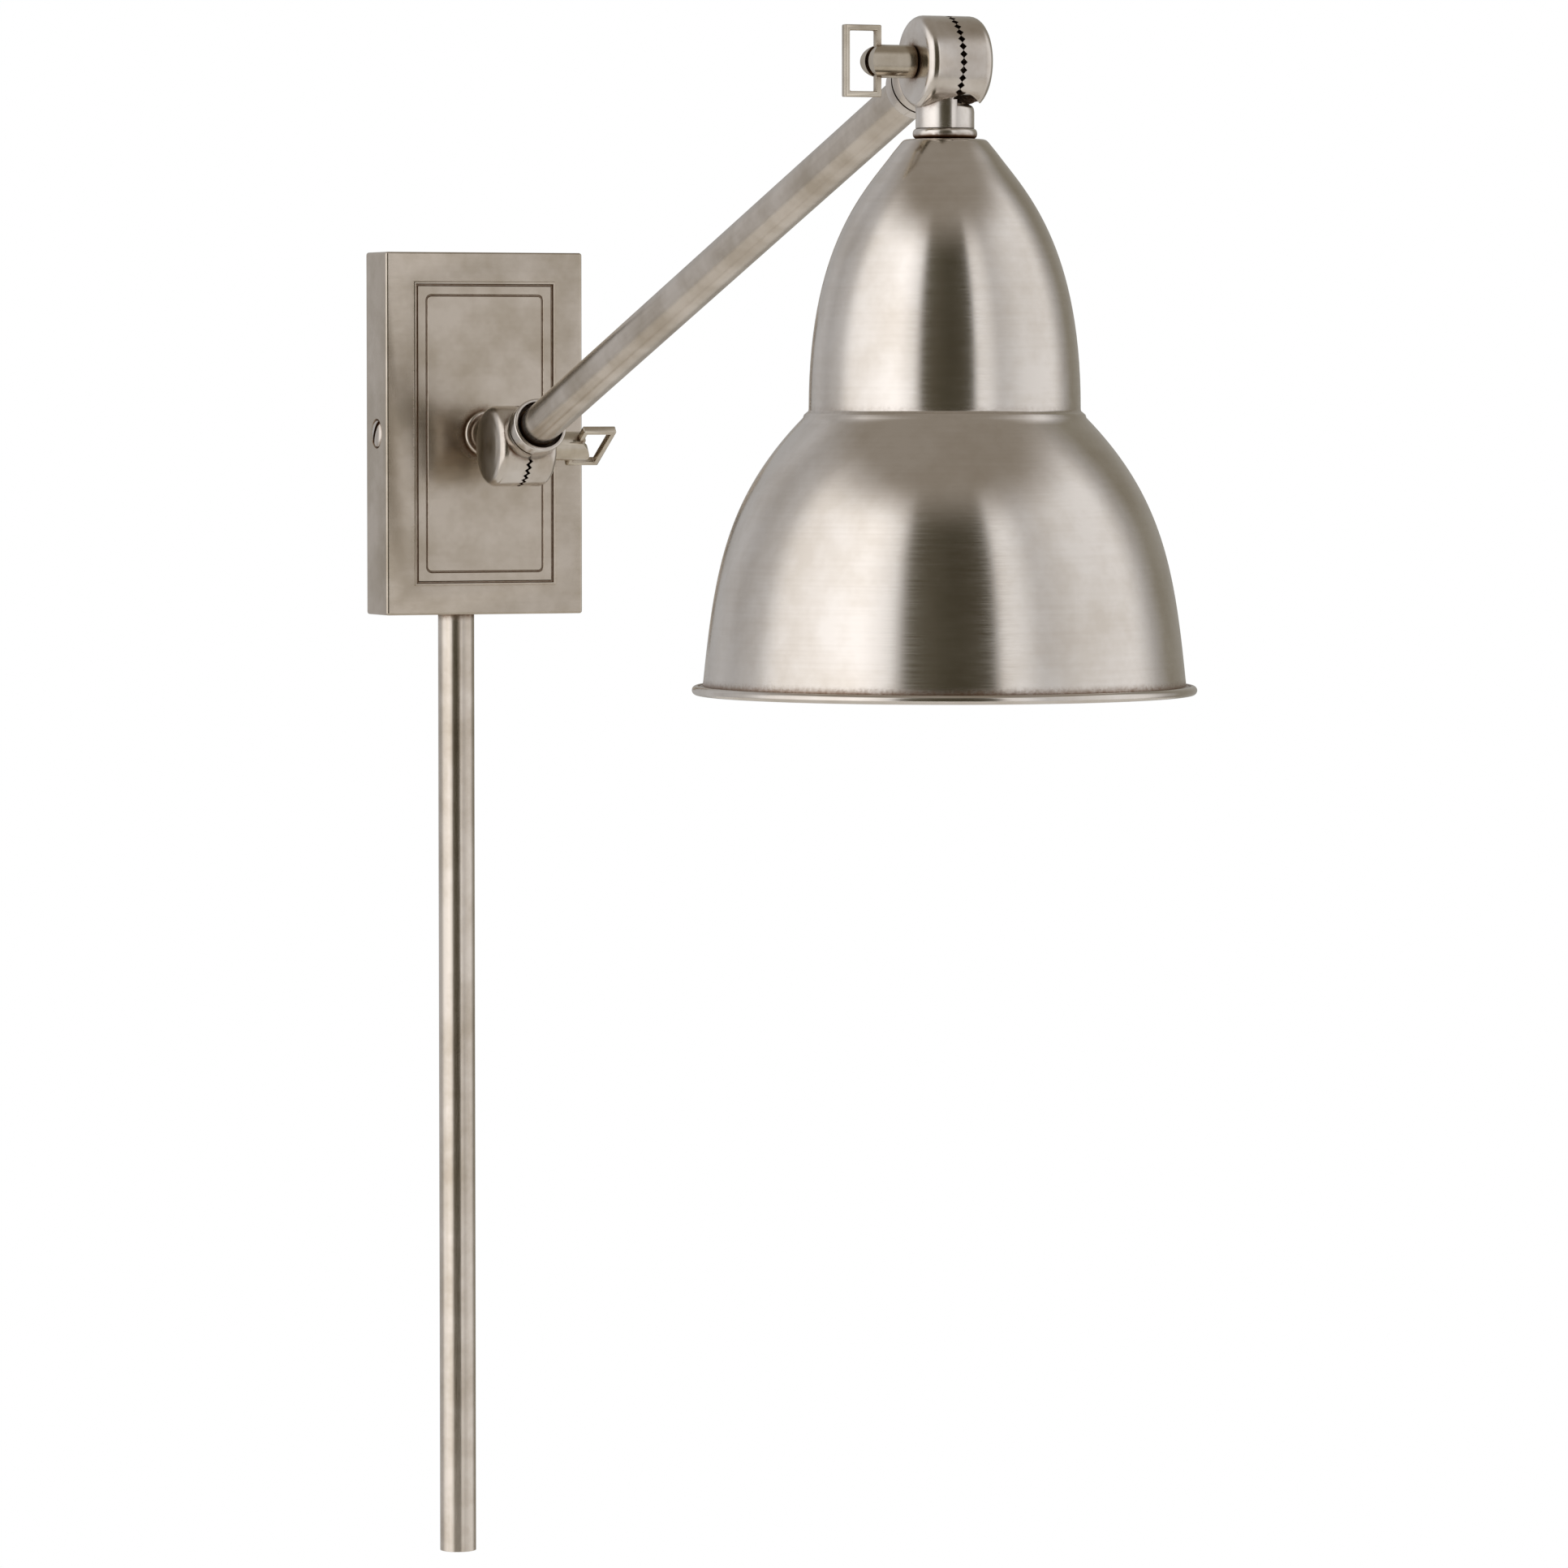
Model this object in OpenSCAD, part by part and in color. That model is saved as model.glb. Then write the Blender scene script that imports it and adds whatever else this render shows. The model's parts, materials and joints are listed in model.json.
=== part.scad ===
// Swing-arm wall lamp with a two-bell metal shade. Millimetres.
// Origin: centre of the wall plate, on the wall. +Z up, +X right, the lamp reaches out along -Y.

/* [Wall plate] */
// Width of the wall plate
plate_w = 88; // [70:1:120]
// Height of the wall plate
plate_h = 152; // [130:1:200]
// Depth of the wall plate, wall to front face
plate_d = 24; // [20:0.5:34]
// Sheet thickness of the wall plate
plate_t = 1.6; // [1.2:0.1:2]
// Radius of the plate's upright front edges
plate_edge_r = 1.2; // [0.6:0.1:2]
// Distance from the plate's edge to the outer line
line_inset = 13; // [9:0.5:16]
// Distance from the outer line to the inner line
line_gap = 5.4; // [3:0.2:8]
// Width of an incised line
line_w = 0.8; // [0.4:0.1:1.4]
// Depth of an incised line
line_depth = 0.5; // [0.2:0.1:0.8]
// Corner radius of the inner line
line_corner_r = 2.6; // [1:0.2:6]

/* [Wall bracket] */
// Hole spacing of the wall box screws
box_spacing = 83.3; // [60:0.1:90]
// Diameter of the wall box screw holes
box_hole_d = 4.6; // [3.5:0.1:5.5]
// Sheet thickness of the bracket
bracket_t = 1.6; // [1.2:0.1:2.5]
// Width of the bracket's straps
strap_w = 32; // [26:1:36]
// Head diameter of the side screws
cover_head_d = 11.6; // [8:0.2:12.4]
// Thread diameter of the side screws
cover_thread_d = 4; // [3:0.5:5]

/* [Neck] */
// Diameter of the neck
neck_d = 16; // [13:0.5:20]
// Diameter of the ring at the foot of the neck
neck_ring_d = 19.4; // [17:0.2:26]
// Thickness of that ring
neck_ring_h = 3.2; // [2:0.2:5]
// Distance from the plate's face to the rim of the knuckle half
neck_len = 20.25; // [17:0.25:38]
// Height of the neck above the lower hinge axis
neck_rise = 5; // [0:0.5:7]
// Diameter of the threaded stud behind the neck
stud_d = 12; // [10:0.5:13]
// Bore for the wires through the neck
neck_bore_d = 7; // [5:0.5:8]

/* [Knuckles] */
// Diameter of a knuckle half
puck_d = 33.5; // [30:0.5:40]
// Thickness of a knuckle half
puck_w = 12.8; // [11:0.2:16]
// Radius of its outer edge
puck_edge_r = 3.8; // [1:0.2:4.4]
// Number of clutch teeth
teeth = 36; // [24:1:48]
// Height of a tooth
tooth_h = 1.3; // [0.6:0.1:1.5]
// Distance from the seam plane to the tooth tips
tooth_gap = 0.15; // [0.15:0.05:0.4]
// Diameter of the clutch screw
clutch_d = 5.8; // [4:0.2:7]
// Radial clearance between moving pieces that pass each other
pass_gap = 0.3; // [0.2:0.05:0.5]
// Radial clearance of a running fit
run_gap = 0.05; // [0.03:0.01:0.1]

/* [Swivel collars] */
// Outer diameter of a collar
collar_d = 22.8; // [21:0.2:26]
// Distance from the rim of the knuckle half to the collar's lip
collar_len = 12.55; // [11.5:0.05:17]
// Diameter of the open cup at the lip
cup_d = 20; // [19:0.2:22]
// Diameter of the spigot that runs in the collar
spigot_d = 18.6; // [17.4:0.2:18.8]
// Width of the stop slot
slot_w = 1; // [0.8:0.1:1.6]
// Angle that the stop slot covers
slot_arc = 300; // [180:5:310]
// Angle of the middle of the slot, seen from the tube
slot_mid = 105; // [60:5:130]

/* [Arm] */
// Distance between the two hinge axes
arm_len = 457; // [250:1:600]
// Angle of the arm above level
arm_rise = 18.1; // [0:0.1:40]
// Outside diameter of the arm tube
tube_d = 16.5; // [14:0.1:17.4]
// Wall of the arm tube
tube_t = 1.05; // [0.8:0.05:1.5]

/* [Thumb keys] */
// Diameter of a key's shank
shank_d = 12; // [10:0.2:14]
// Distance from the hinge plane to the shank's rounded end
shank_reach = 31; // [27:0.5:36]
// Height of the square loop
loop_h = 26; // [20:0.5:32]
// Width of the square loop
loop_w = 14.5; // [12:0.5:20]
// Width of the loop's bar
bar_w = 2.1; // [1.6:0.1:3]
// Depth of the loop's bar
bar_d = 3.2; // [2.4:0.1:4]
// Turn of the lower key's loop from upright
lower_key_turn = 57.5; // [0:0.5:90]

/* [Shade] */
// Diameter of the shade's boss under the knuckle
boss_d = 21.3; // [20:0.1:24]
// Distance from the rim of the knuckle half to the underside of the boss
boss_len = 7.05; // [6.2:0.05:13]
// Diameter of the turned ring between boss and shade
ring_d = 23.4; // [22:0.1:27]
// Height of that ring
ring_h = 4; // [3:0.1:6]
// Radius where the shade's top turns down
shade_top_r = 19; // [17:0.5:24]
// Radius of the waist between the two bells
waist_r = 49.4; // [40:0.2:60]
// Height of the upper bell
upper_h = 98; // [80:1:120]
// Step out at the waist
waist_step = 2.1; // [1:0.1:4]
// Radius of the shade's wall at the rim
rim_r = 87.9; // [75:0.1:105]
// Height of the lower bell
lower_h = 100; // [80:1:120]
// Wall of the shade
shade_t = 0.9; // [0.7:0.1:1.4]
// Diameter of the rolled rim bead
bead_d = 3.4; // [2.4:0.1:5]

/* [Lampholder and bulb] */
// Outside diameter of the threaded nipple
nipple_d = 10; // [8:0.5:12]
// Outside diameter of the lampholder shell
holder_d = 34; // [32:0.5:38]
// Length of the lampholder's straight shell
holder_h = 42; // [38:1:50]
// Diameter of the bulb's screw cap
cap_d = 26; // [25:0.1:26.4]
// Diameter of the bulb's envelope
bulb_d = 60; // [50:1:64]
// Length of the bulb without its cap
bulb_h = 80; // [70:1:84]

/* [Cord cover] */
// Outside diameter of the cord cover
cover_d = 15.3; // [12:0.1:18]
// Wall of the cord cover
cover_t = 1; // [0.7:0.1:1.4]
// Length of the cord cover
cover_len = 402; // [150:1:600]
// Sideways place of the cord cover
cover_x = -7; // [-16:0.5:0]
// Width of the slot along its back
cover_slot = 6; // [4:0.5:8]
// Height of a wall clip
clip_h = 10; // [6:1:16]
// Distance between the two wall clips
clip_spacing = 280; // [100:5:280]

/* [Hidden] */
$fn = 64;

nickel = [0.62, 0.58, 0.52];
zinc = [0.72, 0.73, 0.75];
brass = [0.78, 0.62, 0.30];
eps = 0.01;

puck_r = puck_d / 2;
puck_clear = puck_r + pass_gap;
tooth_depth = 3.2;
relief_gap = 2;
recess_r = puck_r - tooth_depth;
recess_depth = 6.5;
hub_r = 6;
hub_gap = 1.6;
boss_drop = puck_r + boss_len;
clutch_bore = clutch_d / 2 + pass_gap;
thread_bore = clutch_d / 2 + run_gap;
clutch_tail = 9;
blind_at = clutch_tail + 1;
dome_rise = 0.8;
rest_phase = -arm_rise * teeth / 360;
wire_x = 4;
wire_bore_r = 2.6;

collar_reach = puck_r + collar_len;
spigot_r = spigot_d / 2;
spigot_start = puck_r + 2.25;
slot_at = spigot_start + 4.1;
spigot_end = collar_reach - 3.8;
tube_start = spigot_end + 0.2;
retainer_h = 0.9;
retainer_gap = 0.05;
plug_len = 14;
plug_r = tube_d / 2 - tube_t;
pin_d = slot_w - 0.2;

washer_t = 0.6;
shank_start = puck_w + washer_t;
loop_start = shank_reach - 5.3;

neck_reach = neck_len + puck_r;
neck_back = plate_d + neck_reach;
tail_len = 12.5;
nut_h = 4;
neck_washer_t = 1;
nut_d = 21;

ear_gap = 0.3;
ear_x = plate_w / 2 - plate_t - ear_gap;
ear_y = plate_d / 2;
ear_len = plate_d - plate_t - 3;
ear_h = 18;
bracket_h = box_spacing + 15;
wire_hole_r = 12;
earth_z = 32;

shade_top = boss_drop + ring_h;
top_flat_r = shade_top_r - 5.4;
top_fall = 5;
waist_z = shade_top + upper_h;
rim_z = waist_z + lower_h;
bead_r = rim_r + bead_d / 2 + 0.6;
shade_hole_r = nipple_d / 2 + 0.2;

holder_top = shade_top + 7.2;
holder_r = holder_d / 2;
dome_h = 8;
shell_t = 0.6;
sleeve_t = 0.4;
sleeve_r = cap_d / 2 + 0.6;
holder_end = holder_top + dome_h + holder_h;
cap_h = 25;
cap_top = holder_end - cap_h;
bulb_top = holder_end;
nut2_h = 3;
nut2_d = 16;

cover_r = cover_d / 2;
cover_top = -plate_h / 2 + 4;
clip_t = 0.8;
clip_first = 50;
clip_hole_d = 2.8;

wire_r = 1.2;
filament_r = 0.8;
filament_lean = 8;
filament_len = 34;
stem_r = 2.2;
filament_foot = stem_r + 2 * filament_r + filament_len * sin(filament_lean);
earth_d = 3.4;
earth_gap = 1.4;

// Points of an arc from angle a to angle b
function arc_points(x, y, r, a, b, n = 6) =
    [for (i = [0:n]) let (t = a + (b - a) * i / n) [x + r * cos(t), y + r * sin(t)]];

// Point of a cubic curve with four control points
function curve_point(p, t) =
    pow(1 - t, 3) * p[0] + 3 * pow(1 - t, 2) * t * p[1] + 3 * (1 - t) * t * t * p[2] + pow(t, 3) * p[3];

function curve(p, n) = [for (i = [0:n]) curve_point(p, i / n)];

// A line of points moved sideways by a distance, to the right of its direction
function shifted(line, d) = [for (i = [0:len(line) - 1]) let (
    a = line[max(0, i - 1)],
    b = line[min(len(line) - 1, i + 1)],
    u = (b - a) / norm(b - a)) line[i] + d * [u[1], -u[0]]];

// Places of the two hinges
module at_lower_hinge() { translate([0, -neck_back, -neck_rise]) children(); }
module at_upper_hinge() {
    out = arm_len * cos(arm_rise);
    up = arm_len * sin(arm_rise);
    translate([0, -neck_back - out, -neck_rise + up]) children();
}
// Along the arm: local +Z runs from the lower hinge to the upper one
module along_arm() { at_lower_hinge() rotate([90 - arm_rise, 0, 0]) children(); }

module tube_of(outer, inner, h) {
    difference() {
        cylinder(r = outer, h = h);
        translate([0, 0, -1]) cylinder(r = inner, h = h + 2);
    }
}

module hex(d, h) { cylinder(d = d, h = h, $fn = 6); }

// A straight run of wire that bends like a cubic curve through its four points
module wire(p, r, n = 12, sides = 8) {
    line = curve(p, n);
    rings = [for (i = [0:n]) let (
        a = line[max(0, i - 1)],
        b = line[min(n, i + 1)],
        u = (b - a) / norm(b - a),
        s = cross(u, [1, 0.3, 0.2]),
        v = s / norm(s),
        w = cross(u, v)) [for (k = [0:sides - 1]) let (q = 360 * k / sides)
            line[i] + r * (cos(q) * v + sin(q) * w)]];
    points = [for (ring = rings) each ring];
    walls = [for (i = [0:n - 1]) for (k = [0:sides - 1]) let (m = (k + 1) % sides)
        [i * sides + k, (i + 1) * sides + k, (i + 1) * sides + m, i * sides + m]];
    first = [[for (k = [0:sides - 1]) k]];
    last = [[for (k = [sides - 1:-1:0]) n * sides + k]];
    polyhedron(points, concat(walls, first, last));
}

// ---------------------------------------------------------------- wall plate

module plate_outline() {
    half = plate_w / 2;
    translate([-half, -plate_d + plate_edge_r]) square([plate_w, plate_d - plate_edge_r]);
    translate([-half + plate_edge_r, -plate_d]) square([plate_w - 2 * plate_edge_r, plate_d]);
    for (s = [-1, 1]) translate([s * (half - plate_edge_r), -plate_d + plate_edge_r]) circle(plate_edge_r);
}

module round_rectangle(w, h, r) {
    square([w - 2 * r, h], center = true);
    square([w, h - 2 * r], center = true);
    for (x = [-1, 1], z = [-1, 1]) translate([x * (w / 2 - r), z * (h / 2 - r)]) circle(r);
}

// Incised rectangle in the front face, around the plate's middle
module incised_line(inset, corner) {
    w = plate_w - 2 * inset;
    h = plate_h - 2 * inset;
    translate([0, -plate_d + line_depth, 0]) rotate([90, 0, 0]) linear_extrude(line_depth + 1) difference() {
        if (corner > 0) round_rectangle(w, h, corner);
        else square([w, h], center = true);
        if (corner > 0) round_rectangle(w - 2 * line_w, h - 2 * line_w, corner - line_w);
        else square([w - 2 * line_w, h - 2 * line_w], center = true);
    }
}

module wall_plate() {
    inner_w = plate_w - 2 * plate_t;
    inner_h = plate_h - 2 * plate_t;
    head_r = cover_head_d / 2 + 0.2;
    notch_r = cover_r + pass_gap;
    color(nickel) difference() {
        translate([0, 0, -plate_h / 2]) linear_extrude(plate_h) plate_outline();
        translate([-inner_w / 2, -plate_d + plate_t, -inner_h / 2]) cube([inner_w, plate_d, inner_h]);
        incised_line(line_inset, 0);
        incised_line(line_inset + line_gap, line_corner_r);
        rotate([90, 0, 0]) cylinder(d = stud_d + 2 * pass_gap, h = plate_d + 1);
        for (s = [-1, 1]) translate([s * plate_w / 2, -ear_y, 0]) rotate([0, -s * 90, 0])
            translate([0, 0, -eps]) cylinder(r1 = head_r, r2 = head_r - plate_t, h = plate_t + 2 * eps);
        translate([cover_x, -cover_r, -plate_h / 2 - 1]) cylinder(r = notch_r, h = plate_t + 2);
        translate([cover_x - notch_r, -cover_r, -plate_h / 2 - 1]) cube([2 * notch_r, plate_d, plate_t + 2]);
    }
}

module wall_bracket() {
    color(zinc) difference() {
        union() {
            translate([-ear_x, -bracket_t, -strap_w / 2]) cube([2 * ear_x, bracket_t, strap_w]);
            translate([-strap_w / 2, -bracket_t, -bracket_h / 2]) cube([strap_w, bracket_t, bracket_h]);
            for (s = [-1, 1]) translate([s * (ear_x - bracket_t / 2), -ear_len / 2, 0])
                cube([bracket_t, ear_len, ear_h], center = true);
        }
        translate([0, 1, 0]) rotate([90, 0, 0]) cylinder(r = wire_hole_r, h = bracket_t + 2);
        for (s = [-1, 1]) translate([0, 1, s * box_spacing / 2]) rotate([90, 0, 0])
            cylinder(d = box_hole_d, h = bracket_t + 2);
        translate([-ear_x - 1, -ear_y, 0]) rotate([0, 90, 0]) cylinder(d = cover_thread_d, h = 2 * ear_x + 2);
        translate([0, 1, earth_z]) rotate([90, 0, 0]) cylinder(d = earth_d, h = bracket_t + 2);
    }
}

module cover_screws() {
    head_r = cover_head_d / 2;
    tip_r = head_r - plate_t;
    color(nickel) for (s = [-1, 1]) translate([s * plate_w / 2, -ear_y, 0]) rotate([0, -s * 90, 0])
        difference() {
            union() {
                cylinder(r1 = head_r, r2 = tip_r, h = plate_t);
                translate([0, 0, plate_t - eps]) cylinder(d = cover_thread_d, h = 9);
            }
            rotate([0, 0, 20]) translate([-head_r - 1, -0.6, -1]) cube([2 * head_r + 2, 1.2, 1.9]);
        }
}

// ---------------------------------------------------------------- knuckles

// Outline of a knuckle half, spun round the hinge axis; local z = 0 is the seam plane.
// A blind half has a closed, domed outer face; the other is bored through for the key.
module puck_outline(bore, blind) {
    e = puck_edge_r;
    face_r = puck_r - e;
    polygon(concat(
        [[bore, hub_gap], [hub_r, hub_gap], [hub_r, recess_depth], [recess_r, recess_depth],
         [recess_r, tooth_gap], [puck_r, tooth_gap]],
        arc_points(face_r, puck_w - e, e, 0, 90),
        blind
            ? [[0.8 * face_r, puck_w + 0.4 * dome_rise], [0.5 * face_r, puck_w + 0.78 * dome_rise],
               [0.2 * face_r, puck_w + 0.98 * dome_rise], [0, puck_w + dome_rise], [0, blind_at], [bore, blind_at]]
            : [[bore, puck_w]]));
}

// Solid body of a knuckle half on the +X side, bored for the clutch screw
module puck(bore, blind = false) { rotate([0, 90, 0]) rotate_extrude($fn = 96) puck_outline(bore, blind); }

// Radial grooves that leave the clutch teeth standing on the +X side's face
module tooth_grooves(phase) {
    for (i = [0:teeth - 1]) rotate([360 * (i + phase) / teeth, 0, 0])
        translate([tooth_gap, 0, recess_r - 0.6]) cylinder(r = tooth_h, h = tooth_depth + 1.2, $fn = 4);
}

// Room that the opposite half sweeps, on the -X side of the seam
module sweep_of_other_half() {
    translate([-puck_w - 4, 0, 0]) rotate([0, 90, 0]) cylinder(r = puck_clear, h = puck_w + 4 + tooth_gap);
}

// Inside of a knuckle half, kept free of boss and collar metal
module puck_inside(bore, blind = false) {
    bore_end = blind ? blind_at : puck_w + 1;
    rotate([0, 90, 0]) {
        difference() {
            cylinder(r = recess_r, h = recess_depth);
            translate([0, 0, -1]) cylinder(r = hub_r, h = recess_depth + 2);
        }
        translate([0, 0, -1]) cylinder(r = bore, h = bore_end + 1);
        translate([0, 0, -1]) cylinder(r = hub_r + eps, h = hub_gap + 1);
    }
}

// Knuckle half with the swivel collar, which points along local -Y
module collar_knuckle(phase, blind = false) {
    collar_r = collar_d / 2;
    lip = 0.8;
    difference() {
        union() {
            puck(clutch_bore, blind);
            rotate([90, 0, 0]) rotate_extrude($fn = 96) polygon(concat(
                [[0, 6], [collar_r - 1.2, 6], [collar_r - 1.2, puck_r - 1.5], [collar_r, puck_r + 0.6]],
                arc_points(collar_r - lip, collar_reach - lip, lip, 0, 90),
                [[0, collar_reach]]));
        }
        sweep_of_other_half();
        puck_inside(clutch_bore, blind);
        tooth_grooves(phase);
        rotate([90, 0, 0]) {
            translate([0, 0, spigot_start - 0.2]) cylinder(r = spigot_r + run_gap, h = 12);
            translate([0, 0, spigot_end]) cylinder(d = cup_d, h = 6);
            translate([wire_x, 0, 9]) cylinder(r = wire_bore_r, h = 12);
            stop_slot();
        }
    }
}

// Slot that the stop pin rides in, part of the way round the collar
module stop_slot() {
    gap = 360 - slot_arc;
    far = 40;
    translate([0, 0, slot_at - slot_w / 2]) difference() {
        cylinder(d = collar_d + 2, h = slot_w);
        translate([0, 0, -1]) cylinder(r = spigot_r - 1, h = slot_w + 2);
        rotate([0, 0, slot_mid + 180]) translate([0, 0, -1]) linear_extrude(slot_w + 2)
            polygon([[0, 0], [far * cos(gap / 2), far * sin(gap / 2)], [far * cos(gap / 2), -far * sin(gap / 2)]]);
    }
}

// Wall half of the lower knuckle: hollow neck, threaded tail and toothed half on the -X side
module wall_knuckle() {
    neck_run = neck_reach - neck_ring_h;
    color(nickel) at_lower_hinge() difference() {
        union() {
            mirror([1, 0, 0]) puck(thread_bore, true);
            translate([0, neck_run, neck_rise]) rotate([90, 0, 0]) cylinder(d = neck_d, h = neck_run - 4);
            translate([0, neck_reach + tail_len, neck_rise]) rotate([90, 0, 0])
                cylinder(d = stud_d, h = tail_len + neck_ring_h + 1);
        }
        mirror([1, 0, 0]) {
            sweep_of_other_half();
            puck_inside(thread_bore, true);
            tooth_grooves(rest_phase + 0.5);
        }
        translate([0, neck_reach + tail_len + 1, neck_rise]) rotate([90, 0, 0])
            cylinder(d = neck_bore_d, h = tail_len + neck_reach - puck_r - 1);
        translate([-wire_x, puck_r + 3, neck_rise]) rotate([90, 0, 0]) cylinder(r = wire_bore_r, h = 12);
    }
}

module arm_knuckle() {
    color(nickel) at_lower_hinge() rotate([-arm_rise, 0, 0]) collar_knuckle(0);
}

// The arm's far half of the upper knuckle, with a hollow that looks onto the shade's boss
module head_knuckle() {
    relief_r = boss_d / 2 + relief_gap;
    relief_top = puck_r - 6.5;
    color(nickel) at_upper_hinge() difference() {
        rotate([180 - arm_rise, 0, 0]) collar_knuckle(0, true);
        difference() {
            translate([0, 0, -puck_r - 1]) cylinder(r = relief_r, h = puck_r + 1 - relief_top);
            rotate([0, 90, 0]) cylinder(r = puck_r - 5, h = puck_w + 4);
        }
    }
}

// Shade half of the upper knuckle: toothed half on the -X side and the boss below it
module shade_knuckle() {
    boss_r = boss_d / 2;
    round_r = 4;
    shoulder = boss_len + 2.75;
    color(nickel) at_upper_hinge() difference() {
        union() {
            mirror([1, 0, 0]) puck(clutch_bore);
            difference() {
                translate([0, 0, -boss_drop]) cylinder(r = boss_r, h = boss_drop - 4);
                translate([0, -20, -boss_drop - 1]) cube([20, 40, boss_drop + 2]);
            }
            translate([0, 0, -boss_drop]) rotate_extrude() polygon(concat(
                [[0, 0], [boss_r, 0]],
                arc_points(boss_r - round_r, shoulder - round_r, round_r, 0, 90),
                [[0, shoulder]]));
        }
        mirror([1, 0, 0]) {
            sweep_of_other_half();
            puck_inside(clutch_bore);
            tooth_grooves(rest_phase);
        }
        translate([0, 0, -boss_drop - 1]) cylinder(d = nipple_d, h = 8);
        translate([-wire_x, 0, -boss_drop]) cylinder(r = wire_bore_r, h = boss_drop - 9);
    }
}

// ---------------------------------------------------------------- neck fixings

module neck_ring() {
    e = 1.1;
    r = neck_ring_d / 2;
    color(nickel) translate([0, -plate_d, 0]) rotate([90, 0, 0]) rotate_extrude() polygon(concat(
        [[stud_d / 2 + pass_gap, 0], [r, 0]],
        arc_points(r - e, neck_ring_h - e, e, 0, 90),
        [[stud_d / 2 + pass_gap, neck_ring_h]]));
}

module neck_washer() {
    color(zinc) translate([0, -plate_d + plate_t + neck_washer_t, 0]) rotate([90, 0, 0])
        tube_of(nut_d / 2 + 1, stud_d / 2 + pass_gap, neck_washer_t);
}

module neck_nut() {
    color(zinc) translate([0, -plate_d + plate_t + neck_washer_t + nut_h, 0]) rotate([90, 0, 0])
        difference() {
            hex(nut_d, nut_h);
            translate([0, 0, -1]) cylinder(d = stud_d, h = nut_h + 2);
        }
}

// ---------------------------------------------------------------- cord cover

module cord_cover() {
    color(nickel) translate([cover_x, -cover_r, cover_top - cover_len]) difference() {
        cylinder(r = cover_r, h = cover_len);
        translate([0, 0, -1]) cylinder(r = cover_r - cover_t, h = cover_len + 2);
        translate([-cover_slot / 2, 0, -1]) cube([cover_slot, cover_d, cover_len + 2]);
    }
}

// Spring clips inside the cord cover, each with a pad on the wall
module cover_clips() {
    clip_r = cover_r - cover_t;
    pad_w = cover_slot - 2 * pass_gap;
    pad_d = cover_r - clip_r + 2;
    color(zinc) for (i = [0, 1]) translate([cover_x, -cover_r, cover_top - clip_first - i * clip_spacing - clip_h])
        difference() {
            union() {
                tube_of(clip_r, clip_r - clip_t, clip_h);
                translate([-pad_w / 2, cover_r - pad_d, 0]) cube([pad_w, pad_d, clip_h]);
            }
            translate([-cover_r, -cover_r - 1, -1]) cube([cover_d, cover_r - 1, clip_h + 2]);
            translate([0, 0, clip_h / 2]) rotate([-90, 0, 0]) cylinder(d = clip_hole_d, h = cover_d);
        }
}

// ---------------------------------------------------------------- wiring in the plate

module supply_wires() {
    tail = -plate_d + plate_t + 14;
    color([0.9, 0.9, 0.88]) for (s = [-1, 1]) {
        wire([[s * 3, -1.5, -6], [s * 3, -9, -9], [s * 23, -9, -14], [s * 23, -9, -29.5]], wire_r);
        wire([[s * 26, -9, -29.5], [s * 26, -9, -12], [s * 1.7, -2, 6], [s * 1.7, tail - 6, 0]], wire_r);
    }
}

module wire_connectors() {
    color([0.85, 0.45, 0.12]) for (s = [-1, 1]) translate([s * 24.5, -9, -50]) difference() {
        cylinder(r1 = 3.2, r2 = 5.6, h = 22);
        translate([0, 0, 4]) cylinder(r = 3.8, h = 20);
    }
}

module earth_screw() {
    color([0.25, 0.5, 0.3]) translate([0, 0, earth_z]) rotate([90, 0, 0]) difference() {
        union() {
            cylinder(d = earth_d, h = bracket_t + earth_gap + 1);
            translate([0, 0, bracket_t + earth_gap]) cylinder(d = 7, h = 2);
        }
        translate([-4, -0.5, bracket_t + earth_gap + 1]) cube([8, 1, 2]);
    }
}

module earth_wire() {
    color([0.75, 0.5, 0.3]) {
        translate([0, -bracket_t - 0.1, earth_z]) rotate([90, 0, 0]) tube_of(3, earth_d / 2 + 0.1, 1);
        wire([[-2.2, -bracket_t - 0.62, earth_z - 1.4], [-12, -5, 26], [-10, -10, 12], [-3, -2, 5]], 0.6);
    }
}

// ---------------------------------------------------------------- thumb keys

// Key shank on the +X side: rounded end, slot for the loop, clutch screw towards the seam
module key_shank() {
    r = shank_d / 2;
    difference() {
        intersection() {
            translate([shank_start, 0, 0]) rotate([0, 90, 0]) cylinder(r = r, h = shank_reach - shank_start);
            union() {
                translate([shank_start, -r, -r]) cube([shank_reach - r - shank_start, shank_d, shank_d]);
                translate([shank_reach - r, r + 1, 0]) rotate([90, 0, 0]) cylinder(r = r - eps, h = shank_d + 2);
            }
        }
        translate([loop_start, -bar_d / 2, -r - 1]) cube([r + 10, bar_d, shank_d + 2]);
    }
    translate([-clutch_tail, 0, 0]) rotate([0, 90, 0]) cylinder(d = clutch_d, h = clutch_tail + shank_start + 1);
}

// Square loop on the +X side, standing upright in the XZ plane
module key_loop() {
    difference() {
        translate([loop_start, -bar_d / 2, -loop_h / 2]) cube([loop_w, bar_d, loop_h]);
        translate([loop_start + bar_w, -bar_d, -loop_h / 2 + bar_w])
            cube([loop_w - 2 * bar_w, 2 * bar_d, loop_h - 2 * bar_w]);
    }
}

module key_washer() {
    translate([puck_w, 0, 0]) rotate([0, 90, 0]) tube_of(shank_d / 2 - 0.8, clutch_bore, washer_t);
}

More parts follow.
